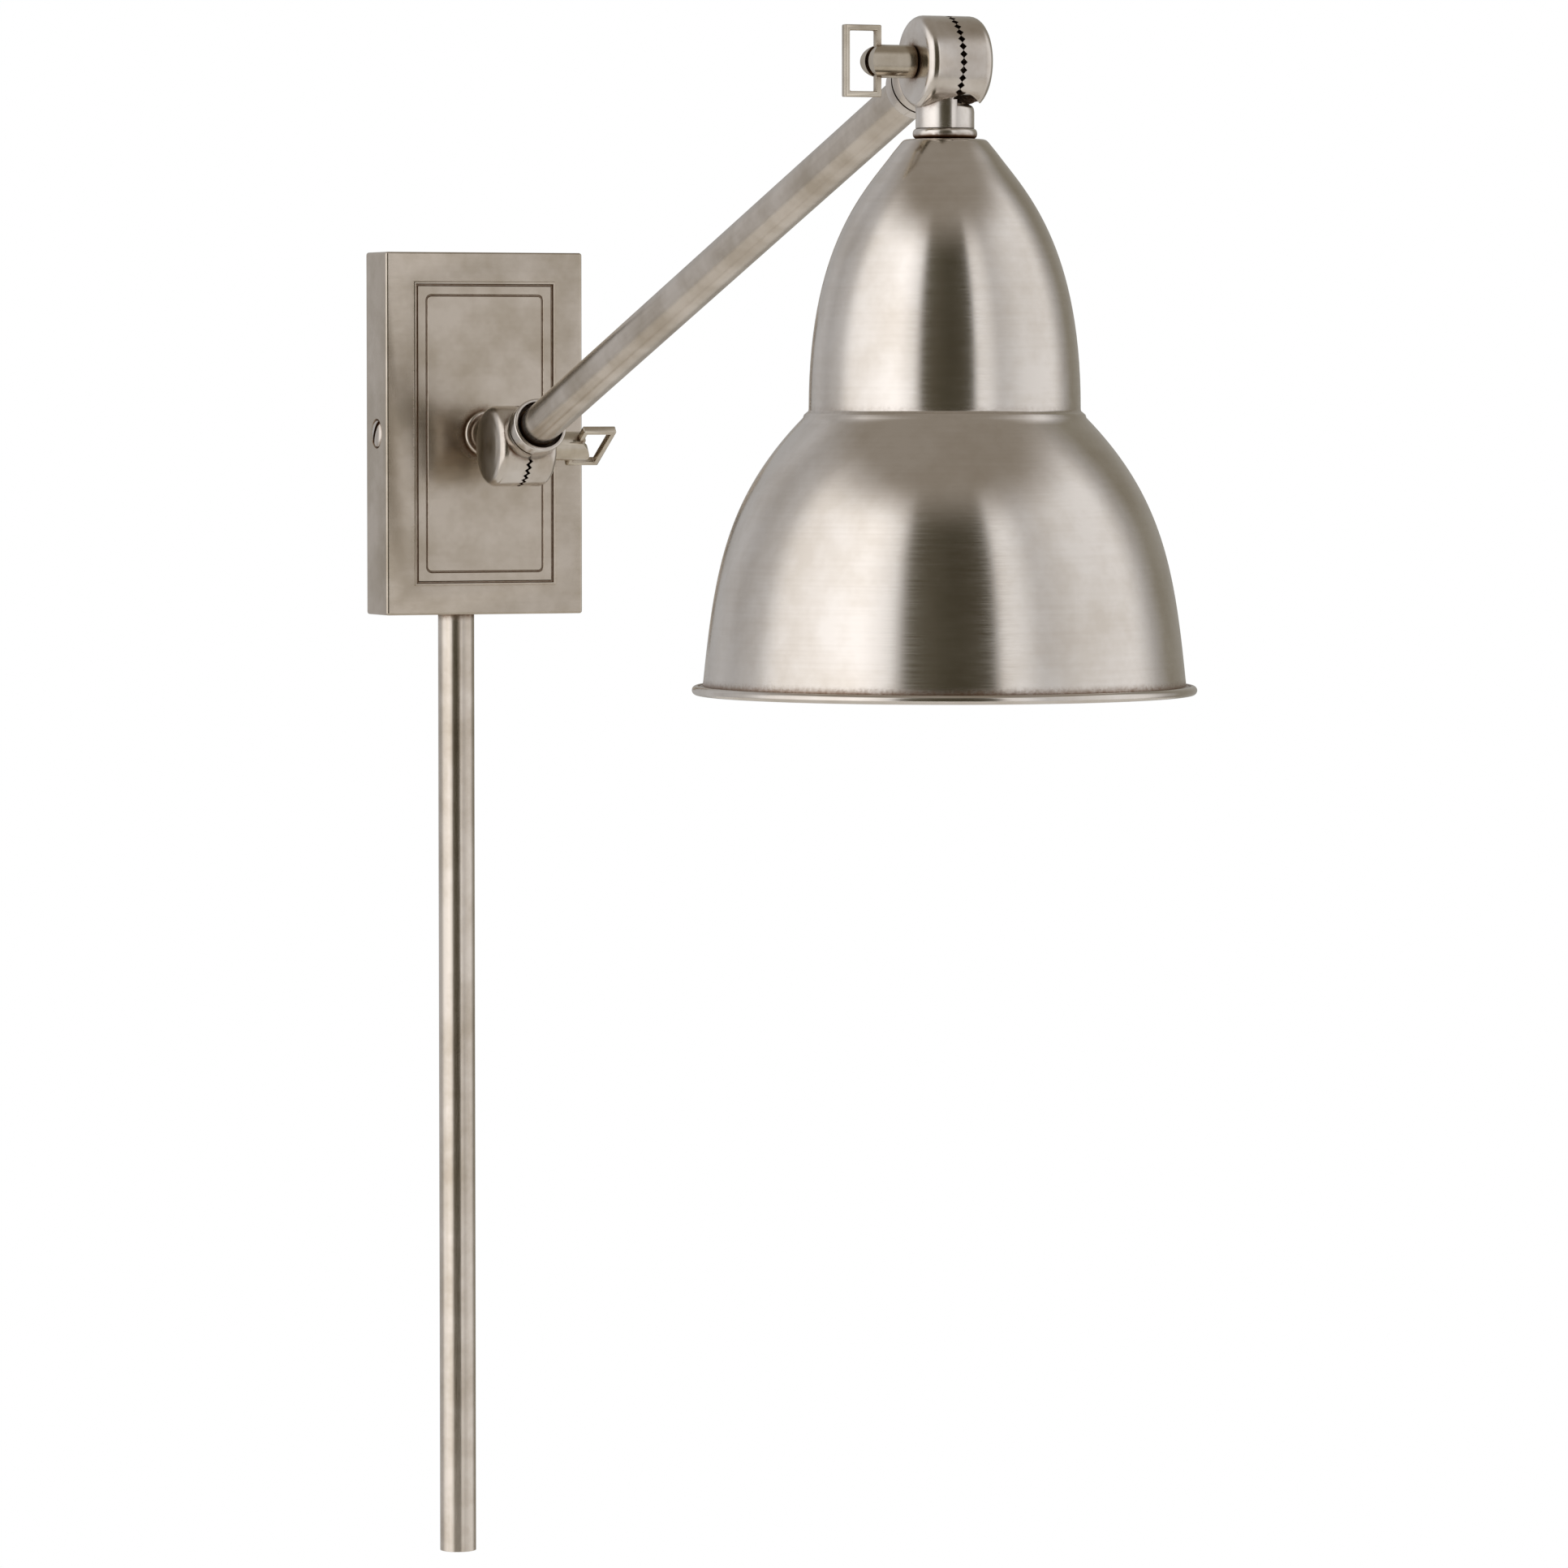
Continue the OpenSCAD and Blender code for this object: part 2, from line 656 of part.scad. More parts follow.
module lower_key_washer() { color(zinc) at_lower_hinge() key_washer(); }
module lower_key_shank() { color(nickel) at_lower_hinge() rotate([lower_key_turn, 0, 0]) key_shank(); }
module lower_key_loop() { color(nickel) at_lower_hinge() rotate([lower_key_turn, 0, 0]) key_loop(); }
module upper_key_washer() { color(zinc) at_upper_hinge() mirror([1, 0, 0]) key_washer(); }
module upper_key_shank() { color(nickel) at_upper_hinge() mirror([1, 0, 0]) key_shank(); }
module upper_key_loop() { color(nickel) at_upper_hinge() mirror([1, 0, 0]) key_loop(); }

// ---------------------------------------------------------------- arm

module arm_tube() {
    color(nickel) along_arm() translate([0, 0, tube_start])
        tube_of(tube_d / 2, tube_d / 2 - tube_t, arm_len - 2 * tube_start);
}

// Spigot: flange that runs in the collar and plug that is pinned in the tube
module spigot() {
    difference() {
        union() {
            translate([0, 0, spigot_start]) cylinder(r = spigot_r, h = spigot_end - 0.1 - spigot_start);
            translate([0, 0, spigot_end - 0.2]) cylinder(d = tube_d, h = 0.2 + tube_start - spigot_end);
            translate([0, 0, tube_start - eps]) cylinder(r = plug_r, h = plug_len);
        }
        translate([0, 0, spigot_start - 1]) cylinder(r = plug_r - 1.2, h = 40);
        pin_at() cylinder(d = pin_d, h = 20);
    }
}

// Place of the stop pin: its foot is on the tube's axis and it points out through the slot
module pin_at() { translate([0, 0, slot_at]) rotate([0, 0, slot_mid]) rotate([0, 90, 0]) children(); }

module stop_pin() {
    foot = plug_r - 1;
    pin_at() translate([0, 0, foot]) cylinder(d = pin_d, h = collar_d / 2 - 0.3 - foot);
}

module from_lower_end() { at_lower_hinge() rotate([-arm_rise, 0, 0]) rotate([90, 0, 0]) children(); }
module from_upper_end() { at_upper_hinge() rotate([180 - arm_rise, 0, 0]) rotate([90, 0, 0]) children(); }

module base_spigot() { color(brass) from_lower_end() spigot(); }
module head_spigot() { color(brass) from_upper_end() spigot(); }

module stop_pins() {
    color(zinc) {
        from_lower_end() stop_pin();
        from_upper_end() stop_pin();
    }
}

// Retaining ring sprung into the cup, over the spigot's flange
module retainer() { translate([0, 0, spigot_end + retainer_gap]) tube_of(cup_d / 2, tube_d / 2 + 0.1, retainer_h); }

module base_retainer() { color(zinc) from_lower_end() retainer(); }
module head_retainer() { color(zinc) from_upper_end() retainer(); }

module arm_wires() {
    color([0.9, 0.9, 0.88]) along_arm() for (s = [-1, 1]) translate([s * 1.4, 0, spigot_start])
        cylinder(r = wire_r, h = arm_len - 2 * spigot_start);
}

// ---------------------------------------------------------------- shade

// Outside line of the shade from its top to the rim, as radius and height
function shade_line() = let (
    u0 = [shade_top_r, -shade_top - top_fall],
    l0 = [waist_r + waist_step, -waist_z - 2.8],
    uw = waist_r - shade_top_r,
    uh = upper_h - top_fall,
    lw = rim_r - waist_r - waist_step,
    lh = lower_h - 2.8) concat(
    arc_points(top_flat_r, -shade_top - 2.8, 2.8, 90, 40, 4),
    curve([u0, u0 + [0.31 * uw, -0.138 * uh], u0 + [uw, -0.347 * uh], u0 + [uw, -uh]], 14),
    [[waist_r + 0.4 * waist_step, -waist_z - 0.3]],
    curve([l0, l0 + [0.772 * lw, -0.297 * lh], l0 + [0.885 * lw, -0.573 * lh], l0 + [lw, -lh]], 14));

// Section of the shade's wall, from the hole in its top to the rim
module shade_section() {
    outside = shade_line();
    inside = shifted(outside, shade_t);
    last = len(outside) - 1;
    polygon(concat(
        [[shade_hole_r, -shade_top]],
        outside,
        [[bead_r - 0.5, -rim_z - bead_d / 2 + 1], [bead_r - 1, -rim_z - bead_d / 2 - 0.9]],
        [for (i = [last:-1:1]) inside[i]],
        [[top_flat_r, -shade_top - shade_t], [shade_hole_r, -shade_top - shade_t]]));
}

// Upper bell, which ends at the waist
module shade_upper() {
    color(nickel) at_upper_hinge() rotate_extrude($fn = 128) intersection() {
        shade_section();
        translate([0, -waist_z]) square([bead_r, waist_z]);
    }
}

// Lower bell, from the waist to the rolled bead at the rim
module shade_lower() {
    color(nickel) at_upper_hinge() {
        rotate_extrude($fn = 128) intersection() {
            shade_section();
            translate([0, -waist_z - lower_h - 10]) square([bead_r, lower_h + 10]);
        }
        translate([0, 0, -rim_z - bead_d / 2]) rotate_extrude($fn = 128) translate([bead_r, 0]) circle(d = bead_d);
    }
}

module shade_ring() {
    e = ring_h / 2 - 0.2;
    r = ring_d / 2;
    color(nickel) at_upper_hinge() translate([0, 0, -shade_top]) rotate_extrude() polygon(concat(
        [[nipple_d / 2 + 0.1, 0]],
        arc_points(r - e, e, e, -90, 0),
        arc_points(r - e, ring_h - e, e, 0, 90),
        [[nipple_d / 2 + 0.1, ring_h]]));
}

// ---------------------------------------------------------------- lampholder

module shade_nipple() {
    top = boss_drop - 7;
    color(brass) at_upper_hinge() translate([0, 0, -holder_top - 3])
        tube_of(nipple_d / 2, nipple_d / 2 - 1.4, holder_top + 3 - top);
}

module nipple_washer() {
    color(zinc) at_upper_hinge() translate([0, 0, -shade_top - shade_t - 1.2])
        tube_of(top_flat_r - 2, nipple_d / 2 + 0.1, 1.2);
}

module nipple_nut() {
    color(brass) at_upper_hinge() translate([0, 0, -shade_top - shade_t - 1.2 - nut2_h]) difference() {
        hex(nut2_d, nut2_h);
        translate([0, 0, -1]) cylinder(d = nipple_d, h = nut2_h + 2);
    }
}

module holder_shell() {
    e = 5;
    color(brass) at_upper_hinge() rotate_extrude() polygon(concat(
        [[nipple_d / 2, -holder_top], [holder_r - e - 3, -holder_top]],
        [[holder_r, -holder_top - dome_h], [holder_r, -holder_end],
         [holder_r - shell_t, -holder_end], [holder_r - shell_t, -holder_top - dome_h - 0.3],
         [holder_r - e - 3.3, -holder_top - shell_t], [nipple_d / 2, -holder_top - shell_t]]));
}

module holder_insulator() {
    color([0.85, 0.83, 0.78]) at_upper_hinge() rotate_extrude() polygon([
        [4, -cap_top + 7], [holder_r - shell_t - 0.1, -cap_top + 7], [holder_r - shell_t - 0.1, -holder_end],
        [sleeve_r + sleeve_t, -holder_end], [sleeve_r + sleeve_t, -cap_top + 3], [4, -cap_top + 3]]);
}

module holder_sleeve() {
    color(brass) at_upper_hinge() translate([0, 0, -holder_end + 1])
        tube_of(sleeve_r + sleeve_t, sleeve_r, holder_end - cap_top + 1.8);
}

module holder_contact() {
    color(brass) at_upper_hinge() translate([0, 0, -cap_top + 4.7]) cylinder(r = 3, h = 2.6);
}

module shade_wires() {
    color([0.9, 0.9, 0.88]) at_upper_hinge() for (s = [-1, 1])
        translate([s * 1.6, 0, -cap_top + 7.8]) cylinder(r = wire_r, h = cap_top - 7.8 - boss_drop + 6.4);
}

// ---------------------------------------------------------------- bulb

module bulb_cap() {
    color(zinc) at_upper_hinge() translate([0, 0, -bulb_top]) difference() {
        cylinder(d = cap_d, h = cap_h - 1);
        translate([0, 0, -1]) cylinder(d = cap_d - 1, h = cap_h - 1);
    }
}

module bulb_insulator() {
    color([0.1, 0.1, 0.1]) at_upper_hinge() translate([0, 0, -cap_top - 1])
        cylinder(r1 = cap_d / 2 - 1, r2 = 5, h = 3.4);
}

module bulb_tip() {
    color(zinc) at_upper_hinge() translate([0, 0, -cap_top + 2.4]) cylinder(r1 = 4.4, r2 = 3, h = 2.2);
}

// Envelope: a neck that swells into a ball, hollow
module bulb_glass() {
    r = bulb_d / 2;
    neck_r = cap_d / 2 - 0.6;
    t = 0.8;
    ball = bulb_h - r;
    meet = asin(neck_r / r) + 22;
    from = [neck_r, -2];
    onto = [r * sin(meet), -ball + r * cos(meet)];
    tangent = [cos(meet), -sin(meet)];
    outside = concat(
        curve([from, from + [0, -10], onto - 12 * tangent, onto], 6),
        [for (a = [meet + 9:9:180]) [r * sin(a), -ball + r * cos(a)]]);
    inside = [for (q = shifted(outside, t)) [max(q[0], 0), q[1]]];
    last = len(outside) - 1;
    color([0.95, 0.95, 0.92, 0.5]) at_upper_hinge() translate([0, 0, -bulb_top]) rotate_extrude()
        polygon(concat([[neck_r - t, 0], [neck_r, 0]],
            [for (i = [0:last - 1]) outside[i]], [[0, -bulb_h]],
            [[0, -bulb_h + t]], [for (i = [last - 1:-1:0]) inside[i]]));
}

module bulb_stem() {
    color([0.95, 0.95, 0.92, 0.5]) at_upper_hinge() translate([0, 0, -bulb_top - 38]) {
        cylinder(r = stem_r, h = 38);
        translate([0, 0, 36]) cylinder(r = cap_d / 2 - 1.8, h = 1.6);
    }
}

module bulb_filaments() {
    color([0.95, 0.8, 0.3]) at_upper_hinge() for (i = [0:3]) rotate([0, 0, 45 + 90 * i])
        translate([filament_foot, 0, -bulb_top - 46]) rotate([0, -filament_lean, 0])
            cylinder(r = filament_r, h = filament_len);
}

wall_plate();
wall_bracket();
cover_screws();
wall_knuckle();
neck_ring();
neck_washer();
neck_nut();
cord_cover();
cover_clips();
supply_wires();
wire_connectors();
earth_screw();
earth_wire();
arm_knuckle();
base_retainer();
lower_key_washer();
lower_key_shank();
lower_key_loop();
arm_tube();
base_spigot();
head_spigot();
stop_pins();
arm_wires();
head_knuckle();
head_retainer();
shade_knuckle();
upper_key_washer();
upper_key_shank();
upper_key_loop();
shade_ring();
shade_upper();
shade_lower();
shade_nipple();
nipple_washer();
nipple_nut();
holder_shell();
holder_insulator();
holder_sleeve();
holder_contact();
shade_wires();
bulb_cap();
bulb_insulator();
bulb_tip();
bulb_glass();
bulb_stem();
bulb_filaments();
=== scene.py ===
"""Swing-arm wall lamp in brushed antique nickel: rectangular wall plate, straight cord cover,
one long arm between two toothed knuckles with thumb keys, and a spun shade of two bells."""

import json
import math

import bmesh
import bpy
from mathutils import Matrix, Vector


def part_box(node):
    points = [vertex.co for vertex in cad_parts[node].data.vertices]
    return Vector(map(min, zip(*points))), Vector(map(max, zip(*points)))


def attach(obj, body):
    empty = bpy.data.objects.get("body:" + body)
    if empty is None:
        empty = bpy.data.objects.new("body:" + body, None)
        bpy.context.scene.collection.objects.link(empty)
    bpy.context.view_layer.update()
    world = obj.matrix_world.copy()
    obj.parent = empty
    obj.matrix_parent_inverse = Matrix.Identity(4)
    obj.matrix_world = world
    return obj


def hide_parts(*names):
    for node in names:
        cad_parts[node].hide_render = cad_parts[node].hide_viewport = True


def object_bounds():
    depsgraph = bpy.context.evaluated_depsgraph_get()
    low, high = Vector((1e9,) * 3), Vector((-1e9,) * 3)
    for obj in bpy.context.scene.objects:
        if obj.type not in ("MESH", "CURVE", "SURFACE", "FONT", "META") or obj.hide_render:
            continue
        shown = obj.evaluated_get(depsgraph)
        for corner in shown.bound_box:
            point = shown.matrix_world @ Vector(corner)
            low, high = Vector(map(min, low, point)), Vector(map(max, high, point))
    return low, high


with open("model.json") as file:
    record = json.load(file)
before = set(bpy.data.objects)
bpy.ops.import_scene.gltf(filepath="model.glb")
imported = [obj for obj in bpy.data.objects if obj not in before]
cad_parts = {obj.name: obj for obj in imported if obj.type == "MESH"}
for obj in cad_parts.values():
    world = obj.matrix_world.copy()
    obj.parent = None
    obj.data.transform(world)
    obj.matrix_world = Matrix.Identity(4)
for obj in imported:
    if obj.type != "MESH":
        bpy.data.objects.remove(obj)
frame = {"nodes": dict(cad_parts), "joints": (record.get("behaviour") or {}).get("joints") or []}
cad_low, cad_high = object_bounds()
nodes = frame["nodes"]
hinges = {joint["name"]: Vector(joint["pos_m"]) for joint in frame["joints"]}
MM = 0.001


# ---------------------------------------------------------------- camera and studio
# A long lens a little to the left of the lamp and level with the wall plate, a pale floor below,
# and a soft studio: two wide light walls with a narrow dark gap between them.

CAMERA_PLACE = Vector((-1.1315, -3.0142, 0.0194))
CAMERA_YAW = math.radians(22.98)
CAMERA_PITCH = math.radians(-2.99)
SENSOR_WIDTH = 36.0
LENS = 174.33

camera_data = bpy.data.cameras.new("camera")
camera_data.sensor_width = SENSOR_WIDTH
camera_data.lens = LENS
camera_data.clip_start = 0.1
camera_data.clip_end = 20.0
camera = bpy.data.objects.new("camera", camera_data)
bpy.context.scene.collection.objects.link(camera)
camera.location = CAMERA_PLACE
looking = Vector((
    math.sin(CAMERA_YAW) * math.cos(CAMERA_PITCH),
    math.cos(CAMERA_YAW) * math.cos(CAMERA_PITCH),
    math.sin(CAMERA_PITCH)))
camera.rotation_euler = looking.to_track_quat("-Z", "Y").to_euler()
bpy.context.scene.camera = camera
bpy.context.scene.view_settings.view_transform = "Standard"


def add(tree, kind, inputs=None, **settings):
    """Adds one node, with its settings, its input values and the links into it."""
    made = tree.nodes.new(kind)
    for key, value in settings.items():
        setattr(made, key, value)
    for key, value in (inputs or {}).items():
        if isinstance(value, bpy.types.NodeSocket):
            tree.links.new(value, made.inputs[key])
        else:
            made.inputs[key].default_value = value
    return made


def linear(hex_colour):
    """An sRGB hex colour as the linear colour that shaders take."""
    parts = [int(hex_colour[i:i + 2], 16) / 255 for i in (0, 2, 4)]
    return tuple(p / 12.92 if p <= 0.04045 else ((p + 0.055) / 1.055) ** 2.4 for p in parts) + (1.0,)


def ramp_of(tree, factor, stops):
    """A colour ramp with (place, colour) stops, fed by factor."""
    made = add(tree, "ShaderNodeValToRGB", {"Fac": factor})
    while len(made.color_ramp.elements) < len(stops):
        made.color_ramp.elements.new(0.5)
    for element, (place, colour) in zip(made.color_ramp.elements, stops):
        element.position = place
        element.color = colour
    return made.outputs["Color"]


# Brightness of the studio round the lamp, by compass angle in degrees; 0 looks out from the wall
PANORAMA = [
    (-180, 0.48), (-160, 0.58), (-146, 0.50), (-126, 0.64), (-112, 1.20),
    (-66, 1.52), (-50, 1.12), (-43, 0.10), (-20, 0.06), (0, 0.07),
    (4, 1.10), (13, 1.00), (24, 0.66), (48, 0.90), (82, 1.00),
    (99, 0.46), (112, 0.26), (145, 0.36), (180, 0.48)]
# parts of the room darker than this turn brown
BROWN_BELOW = 0.5
CEILING_TONE = (0.34, 0.31, 0.275, 1)
FLOOR_GLOW = (0.27, 0.255, 0.235, 1)
BACKDROP_WHITE = (1, 1, 1, 1)


def studio_tone(brightness):
    """White light walls, and a warm brown in the darker parts of the room between them."""
    warmth = max(0.0, 1 - brightness / BROWN_BELOW)
    return brightness * (1 + 0.16 * warmth), brightness, brightness * (1.03 - 0.42 * warmth), 1


world = bpy.data.worlds.new("studio")
bpy.context.scene.world = world
world.use_nodes = True
sky = world.node_tree
sky.nodes.clear()
direction = add(sky, "ShaderNodeTexCoord").outputs["Generated"]
aim = add(sky, "ShaderNodeSeparateXYZ", {0: direction}).outputs
outward = add(sky, "ShaderNodeMath", {0: aim["Y"], 1: -1.0}, operation="MULTIPLY")
compass = add(sky, "ShaderNodeMath", {0: aim["X"], 1: outward.outputs[0]}, operation="ARCTAN2")
turn = add(sky, "ShaderNodeMapRange", {
    "Value": compass.outputs[0], "From Min": -math.pi, "From Max": math.pi, "To Min": 0.0, "To Max": 1.0})
stops = [((angle + 180) / 360, studio_tone(level)) for angle, level in PANORAMA]
around = ramp_of(sky, turn.outputs[0], stops)
# the light walls end about 45 degrees up, under a dim ceiling; they fade to a pale floor below
ceiling = add(
    sky, "ShaderNodeMapRange", {"Value": aim["Z"], "From Min": 0.60, "From Max": 0.88},
    interpolation_type="SMOOTHSTEP").outputs[0]
walls = add(
    sky, "ShaderNodeMix", {0: ceiling, "A": around, "B": CEILING_TONE},
    data_type="RGBA").outputs["Result"]
below = add(
    sky, "ShaderNodeMapRange", {"Value": aim["Z"], "From Min": -0.35, "From Max": -0.85},
    interpolation_type="SMOOTHSTEP").outputs[0]
room = add(
    sky, "ShaderNodeMix", {0: below, "A": walls, "B": FLOOR_GLOW},
    data_type="RGBA").outputs["Result"]
studio_light = add(sky, "ShaderNodeBackground", {"Color": room, "Strength": 1.0})
backdrop = add(sky, "ShaderNodeBackground", {"Color": BACKDROP_WHITE, "Strength": 1.0})
seen = add(sky, "ShaderNodeLightPath")
either = add(sky, "ShaderNodeMixShader", {
    0: seen.outputs["Is Camera Ray"], 1: studio_light.outputs[0], 2: backdrop.outputs[0]})
add(sky, "ShaderNodeOutputWorld", {"Surface": either.outputs[0]})


def soft_light(name, place, target, size, power):
    """A square softbox that points at target and isn't itself seen."""
    data = bpy.data.lights.new(name, "AREA")
    data.shape = "SQUARE"
    data.size = size
    data.energy = power
    light = bpy.data.objects.new(name, data)
    bpy.context.scene.collection.objects.link(light)
    light.location = place
    light.rotation_euler = (Vector(target) - Vector(place)).to_track_quat("-Z", "Y").to_euler()
    light.visible_camera = False
    light.visible_glossy = False


LAMP_MIDDLE = (cad_low + cad_high) / 2
soft_light("key_light", (-2.2, -1.4, 1.6), LAMP_MIDDLE, 1.4, 26.0)
soft_light("fill_light", (2.2, -1.8, 0.8), LAMP_MIDDLE, 1.6, 14.0)
soft_light("wall_light", (0.6, 2.2, 1.4), LAMP_MIDDLE, 1.6, 12.0)


def piece(name, bm, finish, sharp=math.radians(32)):
    """Turns a bmesh into an object whose edges stay crisp where its faces meet at more than sharp."""
    bmesh.ops.remove_doubles(bm, verts=bm.verts, dist=1e-7)
    bmesh.ops.recalc_face_normals(bm, faces=bm.faces)
    for face in bm.faces:
        face.smooth = True
    for edge in bm.edges:
        edge.smooth = len(edge.link_faces) == 2 and edge.calc_face_angle(0) < sharp
    mesh = bpy.data.meshes.new(name)
    bm.to_mesh(mesh)
    bm.free()
    made = bpy.data.objects.new(name, mesh)
    bpy.context.scene.collection.objects.link(made)
    for material in finish if isinstance(finish, list) else [finish]:
        mesh.materials.append(material)
    return made


def bare_material(name):
    """A new material and its node tree, which is still empty."""
    material = bpy.data.materials.new(name)
    material.use_nodes = True
    material.node_tree.nodes.clear()
    return material, material.node_tree


# Matt pale paint on the studio floor: faint mottling so that it isn't one flat tone
floor_paint, tree = bare_material("matt_floor_paint")
mottle = add(tree, "ShaderNodeTexNoise", {
    "Vector": add(tree, "ShaderNodeTexCoord").outputs["Object"], "Scale": 3.0, "Detail": 3.0})
floor_tone = ramp_of(tree, mottle.outputs["Fac"], [(0.3, linear("ecebe9")), (0.7, linear("f3f2f0"))])
surface = add(tree, "ShaderNodeBsdfPrincipled", {"Base Color": floor_tone, "Roughness": 0.9})
add(tree, "ShaderNodeOutputMaterial", {"Surface": surface.outputs[0]})

FLOOR_RADIUS = 1.35
FLOOR_MIDDLE = (0.0, -0.3, -0.75)
bm = bmesh.new()
bmesh.ops.create_circle(bm, cap_ends=True, segments=96, radius=FLOOR_RADIUS)
bmesh.ops.translate(bm, verts=bm.verts, vec=FLOOR_MIDDLE)
piece("floor", bm, floor_paint)


# ---------------------------------------------------------------- wall plate
# A box pressed from 1.6 mm steel sheet, open at the wall, with one raised and one incised line
# round its face; plated in antique nickel, brushed from side to side and lacquered.


# How fast a scratch changes along its run, against across it, on turned and on drawn pieces
FADE_AROUND = 0.03
FADE_ALONG = 0.02
PATINA_BROWN = "6a4a2b"
PATINA_REACH = 3.5 * MM


def antique_nickel(name, centre, axis, grain,
                   tone="d9d2c9", shade_tone="bfb4a6", streak=0.16, satin=0.13):
    """Antique nickel plate, brushed with a fine abrasive: a warm grey metal with fine parallel
    scratches, slow tonal drift and brown patina left in the corners the buff didn't reach.
    grain is "around" the axis, as on turned and spun pieces, or "along" it, as on drawn tube;
    streak is how much the broader bands show and satin the roughness of the finest scratches."""
    material, tree = bare_material(name)
    place = add(tree, "ShaderNodeTexCoord").outputs["Object"]
    middle, spindle = tuple(centre), tuple(axis)
    arm = add(tree, "ShaderNodeVectorMath", {0: place, 1: middle}, operation="SUBTRACT").outputs[0]
    along = add(tree, "ShaderNodeVectorMath", {0: arm, 1: spindle}, operation="DOT_PRODUCT").outputs["Value"]
    foot = add(tree, "ShaderNodeVectorMath", {0: spindle, "Scale": along}, operation="SCALE").outputs[0]
    spoke = add(tree, "ShaderNodeVectorMath", {0: arm, 1: foot}, operation="SUBTRACT").outputs[0]
    if grain == "around":
        reach = add(tree, "ShaderNodeVectorMath", {0: spoke}, operation="LENGTH").outputs["Value"]
        sideways = tuple(Vector(axis).orthogonal() * FADE_AROUND)
        fade = add(tree, "ShaderNodeVectorMath", {0: arm, 1: sideways}, operation="DOT_PRODUCT")
        track = add(tree, "ShaderNodeCombineXYZ", {
            "X": along, "Y": reach, "Z": fade.outputs["Value"]}).outputs[0]
        run = add(tree, "ShaderNodeVectorMath", {0: spindle, 1: spoke}, operation="CROSS_PRODUCT").outputs[0]
    else:
        fade = add(tree, "ShaderNodeVectorMath", {0: foot, "Scale": FADE_ALONG}, operation="SCALE")
        track = add(tree, "ShaderNodeVectorMath", {0: spoke, 1: fade.outputs[0]}, operation="ADD").outputs[0]
        run = add(tree, "ShaderNodeCombineXYZ", dict(zip("XYZ", spindle))).outputs[0]
    # scratches 0.25 mm apart, and broader bands 1.6 mm apart where the abrasive bit harder
    scratch = add(tree, "ShaderNodeTexNoise", {
        "Vector": track, "Scale": 4000.0, "Detail": 2.0, "Roughness": 0.6}).outputs["Fac"]
    band = add(tree, "ShaderNodeTexNoise", {
        "Vector": track, "Scale": 620.0, "Detail": 3.0, "Roughness": 0.6}).outputs["Fac"]
    cloud = add(tree, "ShaderNodeTexNoise", {
        "Vector": place, "Scale": 38.0, "Detail": 4.0, "Roughness": 0.6}).outputs["Fac"]
    blend = add(tree, "ShaderNodeMix", {0: streak, "A": cloud, "B": band}).outputs["Result"]
    metal = ramp_of(tree, blend, [(0.36, linear(shade_tone)), (0.60, linear(tone))])
    # brown patina: deepest in corners a few millimetres wide, broken up by a 1.5 mm mottle
    corner = add(tree, "ShaderNodeAmbientOcclusion", {"Distance": PATINA_REACH}, samples=6).outputs["AO"]
    speck = add(tree, "ShaderNodeTexNoise", {
        "Vector": place, "Scale": 640.0, "Detail": 3.0, "Roughness": 0.65}).outputs["Fac"]
    depth = add(tree, "ShaderNodeMath", {0: speck, 1: 0.38, 2: corner}, operation="MULTIPLY_ADD").outputs[0]
    patina = add(tree, "ShaderNodeMapRange", {
        "Value": depth, "From Min": 0.70, "From Max": 1.15, "To Min": 0.96, "To Max": 0.0},
        interpolation_type="SMOOTHSTEP").outputs[0]
    colour = add(tree, "ShaderNodeMix", {0: patina, "A": metal, "B": linear(PATINA_BROWN)}, data_type="RGBA")
    gloss = add(tree, "ShaderNodeMapRange", {
        "Value": scratch, "From Min": 0.3, "From Max": 0.7,
        "To Min": satin, "To Max": satin + 0.07}).outputs[0]
    gloss = add(tree, "ShaderNodeMath", {0: patina, 1: 0.3, 2: gloss}, operation="MULTIPLY_ADD").outputs[0]
    relief = add(tree, "ShaderNodeBump", {
        "Height": scratch, "Strength": 0.10, "Distance": 0.00004}).outputs[0]
    heading = add(tree, "ShaderNodeVectorTransform", {0: run},
                  vector_type="VECTOR", convert_from="OBJECT", convert_to="WORLD").outputs[0]
    surface = add(tree, "ShaderNodeBsdfPrincipled", {
        "Base Color": colour.outputs["Result"], "Metallic": 1.0, "Roughness": gloss,
        "Anisotropic": 0.6 if grain == "around" else 0.15, "Normal": relief, "Tangent": heading})
    add(tree, "ShaderNodeOutputMaterial", {"Surface": surface.outputs[0]})
    return material


X_AXIS = Vector((1, 0, 0))
OUTWARDS = Vector((0, -1, 0))
PLATE_EDGE = 1.1 * MM
PLATE_SHEET = 1.6 * MM
OUTER_LINE = 12.2 * MM
LINE_GAP = 3.2 * MM
INNER_LINE_CORNER = 2.6 * MM
# width and rise in mm of each step across the raised outer line and the incised inner line
RAISED_LINE = [(0.40, 0.32), (0.35, 0.06), (0.25, -0.10), (0.30, -0.78), (0.45, 0.0), (0.35, 0.50)]
INCISED_LINE = [(0.18, -0.12), (0.22, -0.42), (0.35, 0.0), (0.22, 0.42), (0.18, 0.12)]

SCREW_HOLE = 12.6 * MM
SCREW_HOLE_FOOT = 11.4 * MM
SCREW_HOLE_SINK = 0.8 * MM
# only the plate's own flats are larger than this, in square metres
BROAD = 0.001

